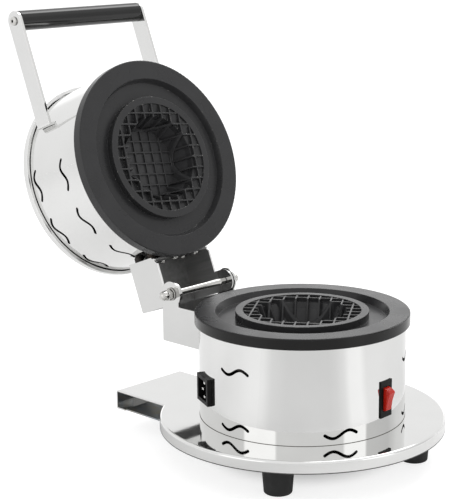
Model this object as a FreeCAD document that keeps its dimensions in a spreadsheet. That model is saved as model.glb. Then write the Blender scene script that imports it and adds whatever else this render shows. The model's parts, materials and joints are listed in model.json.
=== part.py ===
import FreeCAD, Part
import math
import os
import re

# A round, hinged, counter-top waffle press with two facing bowl moulds, shown open.
# Millimetres, +Z up, floor at Z = 0, drum axis on Z, switch at the front (-Y), hinge at the rear (+Y).
# The upper half is built shut, in the same frame, and then turned open about the hinge pin.

Vector = FreeCAD.Vector
Rotation = FreeCAD.Rotation
Placement = FreeCAD.Placement

SIZES = [
    # deck and tongue
    ("deck_top", "39.5"),
    ("deck_radius", "134"),
    ("deck_sheet", "1.5"),
    ("rim_height", "11.5"),
    ("rim_bend", "2.5"),
    ("tongue_near", "75"),
    ("tongue_far", "10"),
    ("tongue_root", "74"),
    ("tongue_reach", "44"),
    ("tongue_drop", "19.2"),
    ("tongue_lip", "11.5"),
    ("brace_inset", "5"),
    ("brace_start", "25"),
    ("brace_flange", "16"),
    # feet
    ("foot_inset", "28"),
    ("foot_start", "-60"),
    ("foot_low_radius", "12.7"),
    ("foot_top_radius", "15.7"),
    ("foot_edge", "2"),
    ("foot_pocket_radius", "7"),
    ("foot_pocket_share", "0.62"),
    ("rear_foot_across", "-12"),
    ("rear_foot_inset", "28"),
    ("foot_screw_radius", "3"),
    ("foot_head_radius", "5.5"),
    ("foot_head_height", "4"),
    ("weld_nut_radius", "6"),
    ("weld_nut_height", "6"),
    # drums
    ("drum_radius", "96.2"),
    ("drum_sheet", "0.8"),
    ("upper_shell_top", "94.8"),
    ("cover_low", "88.9"),
    ("cover_sheet", "1"),
    ("cover_stand", "4.1"),
    ("cover_gap", "1.5"),
    # moulds, heights counted from the parting plane
    ("parting", "138.9"),
    ("face_gap", "0.2"),
    ("face_step", "0.5"),
    ("flange_overhang", "3.8"),
    ("mould_edge", "1.2"),
    ("flange_depth", "10"),
    ("platform_depth", "5.5"),
    ("flange_land", "19"),
    ("recess_slope", "3"),
    ("recess_depth", "7"),
    ("cavity_radius", "55"),
    ("ring_wall", "7"),
    ("band_width", "11"),
    ("bowl_taper", "8"),
    ("band_drop", "2.4"),
    ("band_depth", "4.8"),
    ("cavity_depth", "27"),
    ("boss_wall", "5"),
    ("boss_depth", "36"),
    ("rib_pitch", "11.3"),
    ("rib_width", "1.5"),
    ("rib_height", "2"),
    ("rib_drop", "0.4"),
    ("lower_rib_turn", "34"),
    ("upper_rib_turn", "6"),
    # insides
    ("heater_inset", "19.4"),
    ("heater_radius", "4"),
    ("heater_tail", "26"),
    ("shield_gap", "2"),
    ("shield_sheet", "1"),
    ("tie_inset", "8"),
    ("tie_radius", "2.5"),
    ("tie_head_radius", "4.75"),
    ("tie_head_height", "2.8"),
    ("tie_grip", "11"),
    ("spacer_radius", "5"),
    ("thermostat_radius", "8"),
    ("thermostat_height", "13"),
    ("block_width", "36"),
    ("block_depth", "20"),
    ("block_height", "16"),
    # inlet and switch
    ("inlet_angle", "-114.8"),
    ("inlet_up", "33.9"),
    ("inlet_width", "27.2"),
    ("inlet_height", "25.4"),
    ("inlet_proud", "3.4"),
    ("inlet_wall", "1.75"),
    ("inlet_socket_depth", "15"),
    ("inlet_body_depth", "20.2"),
    ("blade_width", "4"),
    ("blade_height", "2"),
    ("blade_pitch", "6.5"),
    ("blade_step", "2"),
    ("switch_angle", "2.4"),
    ("switch_up", "33"),
    ("bezel_width", "16.4"),
    ("bezel_height", "34"),
    ("bezel_proud", "1"),
    ("bezel_lip", "1.3"),
    ("switch_body_depth", "24.2"),
    ("rocker_width", "8"),
    ("rocker_radius", "11"),
    ("rocker_valley", "6.2"),
    ("rocker_slope", "5"),
    ("rocker_pivot", "2"),
    ("rocker_tilt", "13.5"),
    ("rocker_axle_radius", "1.5"),
    ("rocker_clear", "0.4"),
    # hinge
    ("hinge_reach", "38.4"),
    ("hinge_drop", "1.4"),
    ("open_angle", "111.5"),
    ("pin_radius", "3.5"),
    ("ear_radius", "12.4"),
    ("ear_neck", "10"),
    ("ear_outer", "39.2"),
    ("bracket_sheet", "2"),
    ("ear_side_gap", "0.5"),
    ("lower_bracket_depth", "50.1"),
    ("upper_bracket_top", "50"),
    ("upper_bracket_low", "9"),
    ("cheek_forward", "1.6"),
    ("upper_ear_radius", "11.4"),
    ("upper_cheek_behind", "10.1"),
    ("stop_gap", "0.3"),
    ("bracket_screw_radius", "2"),
    ("bracket_head_radius", "4"),
    ("bracket_head_height", "2.4"),
    ("bracket_screw_side", "29"),
    ("bracket_row_near", "22"),
    ("bracket_row_far", "42"),
    ("bracket_nut_round", "4.05"),
    ("bracket_nut_height", "3.2"),
    ("bracket_spacer_radius", "4.5"),
    ("washer_radius", "6.5"),
    ("washer_height", "1.6"),
    ("stud_radius", "3"),
    ("dome_round", "5.77"),
    ("dome_hex_height", "5"),
    ("dome_radius", "4.7"),
    ("dome_straight", "2.6"),
    # handle, heights counted from the parting plane
    ("arm_inset", "13.5"),
    ("arm_sheet", "3"),
    ("arm_half", "10"),
    ("arm_up", "64.1"),
    ("arm_stand", "5.95"),
    ("arm_leg", "22"),
    ("grip_forward", "168"),
    ("grip_radius", "10"),
    ("grip_edge", "1.5"),
    ("grip_screw_radius", "2.5"),
    ("grip_screw_length", "24"),
    ("grip_head_radius", "4.5"),
    ("grip_head_height", "2.6"),
    # vent slots
    ("wave_width", "2.9"),
    ("wave_length", "30"),
    ("wave_rise", "3.2"),
    ("lower_wave_low", "9.3"),
    ("lower_wave_drop", "27.9"),
    ("upper_wave_low", "38"),
    ("upper_wave_high", "81.5"),
    # fits
    ("seat_clear", "0.05"),
    ("hole_clear", "0.2"),
    ("spigot_clear", "0.2"),
]
NAMES = {alias for alias, number in SIZES}
WORD = re.compile(r"[a-z][a-z_]*")
AROUND = {
    "X": Rotation(Vector(0, 1, 0), 90),
    "Y": Rotation(Vector(1, 0, 0), -90),
    "Z": Rotation(),
}
# Share of the half length along a vent, and share of its rise, from one end to the other.
WAVE = [(step / 4 - 1, math.sin(math.pi * (step / 4 - 1))) for step in range(9)]
LOWER_LOW_WAVES = (-87.5, -27.5, 32.5, 92.5, 152.5, -147.5)
LOWER_HIGH_WAVES = (-87.5, 32.5, 92.5)
UPPER_WAVES = (-147.8, -117.5, -87.4, 87.4, 117.5, 147.8)
QUARTERS = (45, 135, 225, 315)

doc = FreeCAD.newDocument("waffle_press")
sheet = doc.addObject("Spreadsheet::Sheet", "sizes")
for row, (alias, number) in enumerate(SIZES, start=1):
    sheet.set("A%d" % row, alias)
    sheet.set("B%d" % row, number)
    sheet.setAlias("B%d" % row, alias)
doc.recompute()
nodes = []


def size(alias):
    """The number in a cell of the sheet."""
    return float(sheet.get(alias))


def formula(text):
    """Point every size name in a formula at its cell."""

    def cell(found):
        word = found.group(0)
        return "sizes." + word if word in NAMES else word

    return WORD.sub(cell, str(text))


def bind(item, **formulas):
    for name, text in formulas.items():
        item.setExpression(name, formula(text))
    return item


def place(item, x, y, z, along="Z"):
    item.Placement = Placement(Vector(), AROUND[along])
    for letter, text in zip("xyz", (x, y, z)):
        item.setExpression("Placement.Base." + letter, formula(text))
    return item


def cylinder(name, radius, height, x=0, y=0, z=0, along="Z"):
    item = bind(doc.addObject("Part::Cylinder", name), Radius=radius, Height=height)
    return place(item, x, y, z, along)


def cone(name, low, high, height, z, x=0, y=0):
    item = bind(doc.addObject("Part::Cone", name), Radius1=low, Radius2=high, Height=height)
    return place(item, x, y, z)


def hexagon(name, corner, height, x, y, z, along):
    item = doc.addObject("Part::Prism", name)
    item.Polygon = 6
    return place(bind(item, Circumradius=corner, Height=height), x, y, z, along)


def box(name, x0, x1, y0, y1, z0, z1):
    item = doc.addObject("Part::Box", name)
    spans = [f"({high}) - ({low})" for low, high in ((x0, x1), (y0, y1), (z0, z1))]
    return place(bind(item, Length=spans[0], Width=spans[1], Height=spans[2]), x0, y0, z0)


def fuse(name, *items):
    item = doc.addObject("Part::MultiFuse", name)
    item.Shapes = list(items)
    item.Refine = True
    return item


def cut(name, base, *tools):
    item = doc.addObject("Part::Cut", name)
    item.Base = base
    item.Tool = tools[0] if len(tools) == 1 else fuse(name + "_tools", *tools)
    item.Refine = True
    return item


def common(name, *items):
    item = doc.addObject("Part::MultiCommon", name)
    item.Shapes = list(items)
    item.Refine = True
    return item


def group(name, items):
    item = doc.addObject("Part::Compound", name)
    item.Links = list(items)
    return item


def rounded(name, base, radius, wanted):
    """Round every edge of the base that the test picks out."""
    doc.recompute()
    item = doc.addObject("Part::Fillet", name)
    item.Base = base
    edges = enumerate(base.Shape.Edges, start=1)
    item.Edges = [(index, size(radius), size(radius)) for index, edge in edges if wanted(edge)]
    return item


def ring_at(height):
    """A test for circular edges that lie level at this height."""

    def wanted(edge):
        bounds = edge.BoundBox
        level = bounds.ZLength < 1e-6 and abs(bounds.ZMin - height) < 1e-6
        return level and isinstance(edge.Curve, Part.Circle)

    return wanted


def turned(name, item, angle):
    """The same thing, swung round the drum axis from the front."""
    copy = group(name, [item])
    copy.Placement = Placement(Vector(), Rotation(Vector(0, 0, 1), angle))
    return copy


def mirrored(name, item):
    """The upper twin of a lower piece."""
    copy = doc.addObject("Part::Mirroring", name)
    copy.Source = item
    copy.Normal = Vector(0, 0, 1)
    copy.Base = Vector(0, 0, size("parting"))
    return copy


def on_circle(radius, angle):
    """Formulas for a spot on a circle, with angles counted from the front towards +X."""
    turn = math.radians(angle)
    return f"({radius}) * ({math.sin(turn):.9f})", f"({radius}) * ({-math.cos(turn):.9f})"


def node(item, label):
    item.Label = label
    nodes.append(item)
    return item


def lid_node(item, label):
    """A piece of the upper half, built shut and swung open about the hinge pin."""
    pin = Vector(0, size("drum_radius") + size("hinge_reach"), size("parting") - size("hinge_drop"))
    item.Placement = Placement(Vector(), Rotation(Vector(1, 0, 0), -size("open_angle")), pin)
    return node(item, label)


def wave_slot(name, angle, height):
    """A cutter for one wavy vent: a bent ribbon with round ends, pushed through the wall."""
    half = size("wave_width") / 2
    spread = size("wave_length") / 2
    front = size("drum_radius") + 4
    middle = Part.BSplineCurve()
    middle.interpolate([Vector(u * spread, 0, w * size("wave_rise")) for u, w in WAVE])
    sides = ([], [])
    for step in range(25):
        spot = middle.FirstParameter + (middle.LastParameter - middle.FirstParameter) * step / 24
        run = middle.tangent(spot)[0]
        across = Vector(-run.z, 0, run.x) * half
        sides[0].append(middle.value(spot) + across)
        sides[1].append(middle.value(spot) - across)
    edges = []
    for side in sides:
        line = Part.BSplineCurve()
        line.interpolate(side)
        edges.append(line.toShape())
    for end, way in ((0, -1), (-1, 1)):
        spot = middle.FirstParameter if end == 0 else middle.LastParameter
        tip = middle.value(spot) + middle.tangent(spot)[0] * way * half
        edges.append(Part.Arc(sides[0][end], tip, sides[1][end]).toShape())
    outline = Part.Wire(Part.__sortEdges__(edges))
    item = doc.addObject("Part::Feature", name)
    item.Shape = Part.Face(outline).extrude(Vector(0, 12, 0))
    spin = Rotation(Vector(0, 0, 1), angle)
    item.Placement = Placement(spin.multVec(Vector(0, -front, 0)) + Vector(0, 0, height), spin)
    return item


# Heights that several pieces share.
FLANGE_LOW = "parting - face_step - flange_depth"
FLANGE_HIGH = "parting + face_step + flange_depth"
PLATFORM_LOW = f"{FLANGE_LOW} - platform_depth"
BOSS_LOW = "parting - boss_depth"
SHIELD_LOW = f"{BOSS_LOW} - shield_sheet"
DECK_LOW = "deck_top - deck_sheet"
FOOT_CIRCLE = "(deck_radius - foot_inset)"
TONGUE_ROOT = "(deck_radius - tongue_root)"
TONGUE_REAR = "(deck_radius + tongue_reach)"
BRACE_STEP = "(deck_radius - brace_start)"
REAR_FOOT_BACK = f"({TONGUE_REAR} - rear_foot_inset)"
TONGUE_LOW = "deck_top - tongue_drop"
BRACE_LOW = f"{TONGUE_LOW} - deck_sheet"
COVER_LOW = "parting + cover_low"
COVER_UNDER = "parting + upper_shell_top"
COVER_TOP = f"{COVER_UNDER} + cover_sheet"
HINGE_BACK = "(drum_radius + hinge_reach)"
WEB_FRONT = "drum_radius + seat_clear"
WEB_REAR = f"{WEB_FRONT} + bracket_sheet"
EAR_INNER = "ear_outer - bracket_sheet"
CHEEK_OUTER = f"{EAR_INNER} - ear_side_gap"
CHEEK_INNER = f"{CHEEK_OUTER} - bracket_sheet"
LOWER_REAR = f"{HINGE_BACK} + ear_radius"
UPPER_REAR = f"{HINGE_BACK} + upper_cheek_behind"
HINGE_UP = "parting - hinge_drop"
CHEEK_FRONT = "drum_radius - cheek_forward"
INSIDE = "drum_radius - drum_sheet"
MOULD_RADIUS = "(drum_radius + flange_overhang)"
RECESS_RADIUS = f"({MOULD_RADIUS} - flange_land)"
RING_RADIUS = "(cavity_radius + ring_wall)"
BOWL_RADIUS = "(cavity_radius - band_width)"
BOWL_FLOOR_RADIUS = f"({BOWL_RADIUS} - bowl_taper)"
BOSS_RADIUS = "(cavity_radius + boss_wall)"
TIE_CIRCLE = f"({BOSS_RADIUS} - tie_inset)"
HEATER_CIRCLE = f"({INSIDE} - heater_inset)"
SHIELD_RADIUS = f"({INSIDE} - shield_gap)"
COVER_RADIUS = "(drum_radius + cover_stand)"
INLET_MIDDLE = "deck_top + inlet_up"
SWITCH_MIDDLE = "deck_top + switch_up"
ARM_MIDDLE = "parting + arm_up"
ARM_SIDE = "(drum_radius - arm_inset)"
ARM_INNER = f"{ARM_SIDE} - arm_sheet"
ARM_FOOT = f"sqrt(drum_radius^2 - ({ARM_SIDE} - arm_stand)^2)"
ARM_LEG_END = f"({ARM_SIDE} - arm_leg)"
FOOT_ANGLES = [size("foot_start") + quarter for quarter in (0, 90, 180, 270)]
TIES = [on_circle(TIE_CIRCLE, angle) for angle in QUARTERS]
BRACKET_SIDES = ("-bracket_screw_side", "0", "bracket_screw_side")


def base_plate():
    """Polished deck, turned-down rim and rear tongue, folded from one sheet."""
    rim_low = "deck_top - rim_height"
    outer = cylinder("deck_outer", "deck_radius", "rim_height", z=rim_low)
    outer_round = rounded("deck_outer_round", outer, "rim_bend", ring_at(size("deck_top")))
    inner = cylinder(
        "deck_inner", "deck_radius - deck_sheet", "rim_height - deck_sheet + 1", z=f"{rim_low} - 1"
    )
    pan = cut("deck_pan", outer_round, inner)
    left, right = "-tongue_near", "tongue_far"
    notch = box("rim_notch", left, right, TONGUE_ROOT, "deck_radius + 1", f"{rim_low} - 1", DECK_LOW)
    tongue = box("tongue_block", left, right, TONGUE_ROOT, TONGUE_REAR, TONGUE_LOW, "deck_top")

    def rear_corner(edge):
        bounds = edge.BoundBox
        whole = tongue.Shape.BoundBox
        level = abs(bounds.ZMin - whole.ZMax) < 1e-6
        return level and abs(bounds.YMin - whole.YMax) < 1e-6

    tongue_round = rounded("tongue_round", tongue, "rim_bend", rear_corner)
    rear_in = f"{TONGUE_REAR} - deck_sheet"
    front_in = f"{TONGUE_ROOT} - 1"
    hollow = box("tongue_hollow", "-tongue_near - 1", "tongue_far + 1", front_in, rear_in,
                 f"{TONGUE_LOW} + deck_sheet", DECK_LOW)
    under = box("tongue_under", "-tongue_near - 1", "tongue_far + 1", front_in,
                f"{TONGUE_REAR} - tongue_lip", f"{TONGUE_LOW} - 1", f"{TONGUE_LOW} + deck_sheet + 1")
    fold = cut("tongue_fold", tongue_round, hollow, under)
    plate = fuse("deck_plate", cut("deck_notched", pan, notch), fold)
    holes = []
    for index, (x, y) in enumerate(TIES):
        holes.append(cylinder(f"deck_tie_hole_{index}", "tie_radius + hole_clear",
                              "deck_sheet + 4", x, y, f"{DECK_LOW} - 2"))
    for side in (-1, 1):
        holes.append(cylinder(f"deck_block_hole_{side + 1}", "tie_radius + hole_clear",
                              "deck_sheet + 4", f"{side} * block_width / 4", "block_depth",
                              f"{DECK_LOW} - 2"))
    return node(cut("base_plate_cut", plate, *holes), "base_plate")


def rear_brace():
    """Stepped plate under the tongue that carries the rear foot."""
    left, right = "-tongue_near + brace_inset", "tongue_far - brace_inset"
    low = box("brace_low", left, right, BRACE_STEP, f"{TONGUE_REAR} - deck_sheet - seat_clear",
              BRACE_LOW, TONGUE_LOW)
    riser = box("brace_riser", left, right, BRACE_STEP, f"{BRACE_STEP} + deck_sheet",
                BRACE_LOW, DECK_LOW)
    high = box("brace_high", left, right, BRACE_STEP, f"{BRACE_STEP} + brace_flange",
               f"{DECK_LOW} - deck_sheet", DECK_LOW)
    hole = cylinder("brace_hole", "foot_screw_radius + hole_clear", "deck_sheet + 4",
                    "rear_foot_across", REAR_FOOT_BACK, f"{BRACE_LOW} - 2")
    return node(cut("rear_brace_cut", fuse("brace_fold", low, riser, high), hole), "rear_brace")


def foot(name, x, y, height, top_radius, nut_height):
    """Tapered rubber foot with a screw pocket from below and room for its nut above."""
    body = cone(f"{name}_body", "foot_low_radius", top_radius, height, 0, x, y)
    soft = rounded(f"{name}_soft", body, "foot_edge", ring_at(0))
    pocket = cylinder(f"{name}_pocket", "foot_pocket_radius", f"({height}) * foot_pocket_share",
                      x, y)
    bore = cylinder(f"{name}_bore", "foot_screw_radius + hole_clear", height, x, y)
    tools = [pocket, bore]
    if nut_height:
        tools.append(cylinder(f"{name}_nut_room", "weld_nut_radius + hole_clear", nut_height,
                              x, y, f"({height}) - ({nut_height})"))
    return cut(name, soft, *tools)


def foot_screw(name, x, y, pocket, top):
    head = cylinder(f"{name}_head", "foot_head_radius", "foot_head_height", x, y,
                    f"({pocket}) - foot_head_height")
    shank = cylinder(f"{name}_shank", "foot_screw_radius", f"({top}) - ({pocket})", x, y, pocket)
    return fuse(name, head, shank)


def round_nut(name, x, y, z):
    body = cylinder(f"{name}_body", "weld_nut_radius", "weld_nut_height", x, y, z)
    bore = cylinder(f"{name}_bore", "foot_screw_radius + seat_clear", "weld_nut_height", x, y, z)
    return cut(name, body, bore)


def feet():
    """Four feet below the deck, and one below the tongue that keeps the open press standing."""
    pads, screws, nuts = [], [], []
    nut_low = f"{DECK_LOW} - weld_nut_height"
    pocket = f"({DECK_LOW}) * foot_pocket_share"
    for index, angle in enumerate(FOOT_ANGLES):
        x, y = on_circle(FOOT_CIRCLE, angle)
        pads.append(foot(f"foot_{index}", x, y, DECK_LOW, "foot_top_radius", "weld_nut_height"))
        screws.append(foot_screw(f"foot_screw_{index}", x, y, pocket, f"{DECK_LOW} - 1"))
        nuts.append(round_nut(f"weld_nut_{index}", x, y, nut_low))
    node(group("feet_group", pads), "feet")
    node(group("foot_screw_group", screws), "foot_screws")
    node(group("weld_nut_group", nuts), "weld_nuts")
    x, y = "rear_foot_across", REAR_FOOT_BACK
    taper = f"foot_low_radius + (foot_top_radius - foot_low_radius) * ({BRACE_LOW}) / ({DECK_LOW})"
    node(foot("rear_foot_cut", x, y, BRACE_LOW, taper, None), "rear_foot")
    pocket = f"({BRACE_LOW}) * foot_pocket_share"
    node(foot_screw("rear_foot_screw_fuse", x, y, pocket, f"{TONGUE_LOW} + weld_nut_height + 1"),
         "rear_foot_screw")
    node(round_nut("rear_foot_nut_cut", x, y, TONGUE_LOW), "rear_foot_nut")


def inlet_box(name, half_width, half_height, front, back):
    return box(name, f"-({half_width})", half_width, f"-({front})", f"-({back})",
               f"{INLET_MIDDLE} - ({half_height})", f"{INLET_MIDDLE} + ({half_height})")


def switch_box(name, half_width, half_height, front, back):
    return box(name, f"-({half_width})", half_width, f"-({front})", f"-({back})",
               f"{SWITCH_MIDDLE} - ({half_height})", f"{SWITCH_MIDDLE} + ({half_height})")


def bracket_holes(name, rows):
    """Cutters for the bracket screws, along Y through the rear wall of a drum."""
    return [
        cylinder(f"{name}_{row}_{column}", "bracket_screw_radius + hole_clear",
                 f"{WEB_REAR} + 2 - drum_radius / 2", side, "drum_radius / 2", height, "Y")
        for row, height in enumerate(rows)
        for column, side in enumerate(BRACKET_SIDES)
    ]


def drum_wall(name, low, high):
    outer = cylinder(f"{name}_outer", "drum_radius", f"({high}) - ({low})", z=low)
    inner = cylinder(f"{name}_inner", INSIDE, f"({high}) - ({low}) + 2", z=f"{low} - 1")
    return cut(f"{name}_wall", outer, inner)


LOWER_ROWS = ("parting - bracket_row_near", "parting - bracket_row_far")
UPPER_ROWS = ("parting + bracket_row_near", "parting + bracket_row_far")
INLET_FACE = "(drum_radius + inlet_proud)"
INLET_BACK = "(drum_radius - inlet_body_depth)"
INLET_HALF = "inlet_width / 2 - inlet_wall"
INLET_HALF_UP = "inlet_height / 2 - inlet_wall"
SWITCH_HALF = "(bezel_width / 2 - bezel_lip)"
SWITCH_HALF_UP = "(bezel_height / 2 - bezel_lip)"
SWITCH_BACK = "(drum_radius - switch_body_depth)"


def lower_shell():
    wall = drum_wall("lower_shell", "deck_top", FLANGE_LOW)
    tools = bracket_holes("lower_shell_hole", LOWER_ROWS)
    low = size("deck_top") + size("lower_wave_low")
    flange_low = size("parting") - size("face_step") - size("flange_depth")
    high = flange_low - size("lower_wave_drop")
    for index, angle in enumerate(LOWER_LOW_WAVES):
        tools.append(wave_slot(f"lower_vent_low_{index}", angle, low))
    for index, angle in enumerate(LOWER_HIGH_WAVES):
        tools.append(wave_slot(f"lower_vent_high_{index}", angle, high))
    inlet = inlet_box("inlet_opening", f"{INLET_HALF} + hole_clear", f"{INLET_HALF_UP} + hole_clear",
                      INLET_FACE, INLET_BACK)
    tools.append(turned("inlet_opening_turned", inlet, size("inlet_angle")))
    housing = switch_box("switch_opening", f"{SWITCH_HALF} + hole_clear",
                         f"{SWITCH_HALF_UP} + hole_clear", INLET_FACE, SWITCH_BACK)
    tools.append(turned("switch_opening_turned", housing, size("switch_angle")))
    return node(cut("lower_shell_cut", wall, *tools), "lower_shell")


def upper_shell():
    wall = drum_wall("upper_shell", FLANGE_HIGH, COVER_UNDER)
    tools = bracket_holes("upper_shell_hole", UPPER_ROWS)
    for row in ("upper_wave_low", "upper_wave_high"):
        height = size("parting") + size(row)
        for index, angle in enumerate(UPPER_WAVES):
            tools.append(wave_slot(f"{row}_{index}", angle, height))
    for side in (-1, 1):
        span = (f"-{ARM_SIDE} - 2", f"-{ARM_LEG_END}") if side < 0 else (ARM_LEG_END, f"{ARM_SIDE} + 2")
        tools.append(box(f"arm_slot_{side + 1}", *span,
                         f"-{ARM_FOOT} - arm_sheet - hole_clear", f"-{ARM_FOOT} + hole_clear",
                         f"{ARM_MIDDLE} - arm_half - hole_clear",
                         f"{ARM_MIDDLE} + arm_half + hole_clear"))
    return lid_node(cut("upper_shell_cut", wall, *tools), "upper_shell")


def ribbed_bowl(name, turn):
    """The hollow of a mould and the square ribs in it: level over the band, proud of wall and floor."""
    ring_top = "parting - face_gap"
    band_high, band_low = f"{ring_top} - band_drop", f"{ring_top} - band_depth"
    floor, crest = f"{ring_top} - cavity_depth", f"{ring_top} - rib_drop"
    rim = cylinder(f"{name}_rim", "cavity_radius", "band_drop + 2", z=band_high)
    band = cone(f"{name}_band", BOWL_RADIUS, "cavity_radius", "band_depth - band_drop", band_low)
    deep = cone(f"{name}_deep", BOWL_FLOOR_RADIUS, BOWL_RADIUS, "cavity_depth - band_depth", floor)
    hollow = fuse(f"{name}_hollow", rim, band, deep)
    over = cylinder(f"{name}_over", "cavity_radius + 1", "rib_drop + 4", z=crest)
    inside = cone(f"{name}_inside", f"{BOWL_FLOOR_RADIUS} - rib_height", f"{BOWL_RADIUS} - rib_height",
                  "cavity_depth - rib_height + 2", f"{floor} + rib_height")
    free = fuse(f"{name}_free", over, inside)
    count = int((size("cavity_radius") - size("band_width")) // size("rib_pitch")) + 1
    bars = []
    for index in range(-count, count + 1):
        low = f"{index} * rib_pitch - rib_width / 2"
        high = f"{index} * rib_pitch + rib_width / 2"
        reach = "cavity_radius + 1"
        bars.append(box(f"{name}_along_{index + count}", low, high, f"-({reach})", reach, floor, crest))
        bars.append(box(f"{name}_across_{index + count}", f"-({reach})", reach, low, high, floor, crest))
    grid = turned(f"{name}_grid", fuse(f"{name}_bars", *bars), size(turn))
    ribs = cut(f"{name}_ribs", common(f"{name}_filled", grid, hollow), free)
    return hollow, ribs


def mould(name, turn):
    """Cast mould: flange, moat, raised ring and a bowl crossed by square ribs."""
    ring_top = "parting - face_gap"
    face = "parting - face_step"
    recess_floor = f"{ring_top} - recess_depth"
    flange = cylinder(f"{name}_flange", MOULD_RADIUS, "flange_depth", z=FLANGE_LOW)
    edge = ring_at(size("parting") - size("face_step"))
    flange_round = rounded(f"{name}_flange_round", flange, "mould_edge", edge)
    platform = cylinder(f"{name}_platform", f"{INSIDE} - spigot_clear", "platform_depth + 2",
                        z=PLATFORM_LOW)
    boss = cylinder(f"{name}_boss", BOSS_RADIUS, f"{recess_floor} - ({BOSS_LOW})", z=BOSS_LOW)
    blank = fuse(f"{name}_blank", flange_round, platform, boss)
    moat = cone(f"{name}_moat", f"{RECESS_RADIUS} - recess_slope", RECESS_RADIUS,
                f"{face} - ({recess_floor})", recess_floor)
    ring = cylinder(f"{name}_ring", RING_RADIUS, "recess_depth + 2", z=f"{recess_floor} - 2")
    body = fuse(f"{name}_body", cut(f"{name}_dished", blank, moat), ring)
    hollow, ribs = ribbed_bowl(f"{name}_bowl", turn)
    ribbed = fuse(f"{name}_ribbed", cut(f"{name}_hollowed", body, hollow), ribs)
    groove = doc.addObject("Part::Torus", f"{name}_groove")
    bind(groove, Radius1=HEATER_CIRCLE, Radius2="heater_radius + seat_clear")
    place(groove, 0, 0, PLATFORM_LOW)
    holes = [
        cylinder(f"{name}_tie_hole_{index}", "tie_radius + seat_clear", "tie_grip + 1", x, y, BOSS_LOW)
        for index, (x, y) in enumerate(TIES)
    ]
    return cut(f"{name}_cut", ribbed, groove, *holes)


def lower_heater():
    """Tubular element brazed into the mould's groove, with two tails at the rear."""
    ring = doc.addObject("Part::Torus", "heater_ring")
    bind(ring, Radius1=HEATER_CIRCLE, Radius2="heater_radius")
    place(ring, 0, 0, PLATFORM_LOW)
    pieces = [ring]
    for index, angle in enumerate((170, 190)):
        x, y = on_circle(HEATER_CIRCLE, angle)
        pieces.append(cylinder(f"heater_tail_{index}", "heater_radius - 0.5", "heater_tail", x, y,
                               f"{PLATFORM_LOW} - heater_tail"))
    return node(fuse("lower_heater_fuse", *pieces), "lower_heater")


def lower_heat_shield():
    disc = cylinder("shield_disc", SHIELD_RADIUS, "shield_sheet", z=SHIELD_LOW)
    tools = [cylinder("shield_sensor_hole", "thermostat_radius + 1", "shield_sheet + 2",
                      z=f"{SHIELD_LOW} - 1")]
    for index, (x, y) in enumerate(TIES):
        tools.append(cylinder(f"shield_tie_hole_{index}", "tie_radius + hole_clear",
                              "shield_sheet + 2", x, y, f"{SHIELD_LOW} - 1"))
    for index, angle in enumerate((170, 190)):
        x, y = on_circle(HEATER_CIRCLE, angle)
        tools.append(cylinder(f"shield_tail_hole_{index}", "heater_radius + 1",
                              "shield_sheet + 2", x, y, f"{SHIELD_LOW} - 1"))
    return node(cut("lower_heat_shield_cut", disc, *tools), "lower_heat_shield")


def spacers(name, low, high):
    tubes = []
    for index, (x, y) in enumerate(TIES):
        tube = cylinder(f"{name}_tube_{index}", "spacer_radius", f"({high}) - ({low})", x, y, low)
        bore = cylinder(f"{name}_bore_{index}", "tie_radius + hole_clear",
                        f"({high}) - ({low}) + 2", x, y, f"{low} - 1")
        tubes.append(cut(f"{name}_{index}", tube, bore))
    return group(f"{name}_group", tubes)


def tie_screws(name, low, high, head_low):
    screws = []
    for index, (x, y) in enumerate(TIES):
        shank = cylinder(f"{name}_shank_{index}", "tie_radius", f"({high}) - ({low})", x, y, low)
        head = cylinder(f"{name}_head_{index}", "tie_head_radius", "tie_head_height", x, y, head_low)
        screws.append(fuse(f"{name}_{index}", shank, head))
    return group(f"{name}_group", screws)


def lower_insides():
    node(spacers("lower_spacer", "deck_top", SHIELD_LOW), "lower_spacers")
    node(tie_screws("lower_tie", DECK_LOW, f"{BOSS_LOW} + tie_grip", f"{DECK_LOW} - tie_head_height"),
         "lower_tie_screws")
    sensor = cylinder("thermostat_body", "thermostat_radius", "thermostat_height",
                      z=f"{BOSS_LOW} - thermostat_height")
    blades = [
        box(f"thermostat_blade_{side + 1}", f"{side} * thermostat_radius / 2 - 0.5",
            f"{side} * thermostat_radius / 2 + 0.5", -3, 3,
            f"{BOSS_LOW} - thermostat_height - 8", f"{BOSS_LOW} - thermostat_height + 1")
        for side in (-1, 1)
    ]
    node(fuse("thermostat_fuse", sensor, *blades), "thermostat")
    half, back = "block_width / 2", "block_depth * 1.5"
    block = box("block_body", f"-{half}", half, "block_depth / 2", back,
                "deck_top", "deck_top + block_height")
    screws, holes = [], []
    for side in (-1, 1):
        x, y = f"{side} * block_width / 4", "block_depth"
        holes.append(cylinder(f"block_hole_{side + 1}", "tie_radius + seat_clear",
                              "block_height * 0.7 + 1", x, y, "deck_top - 1"))
        shank = cylinder(f"block_shank_{side + 1}", "tie_radius", "deck_sheet + block_height * 0.6",
                         x, y, DECK_LOW)
        head = cylinder(f"block_head_{side + 1}", "tie_head_radius", "tie_head_height", x, y,
                        f"{DECK_LOW} - tie_head_height")
        screws.append(fuse(f"block_screw_{side + 1}", shank, head))
    node(cut("terminal_block_cut", block, *holes), "terminal_block")
    node(group("terminal_screw_group", screws), "terminal_screws")


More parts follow.
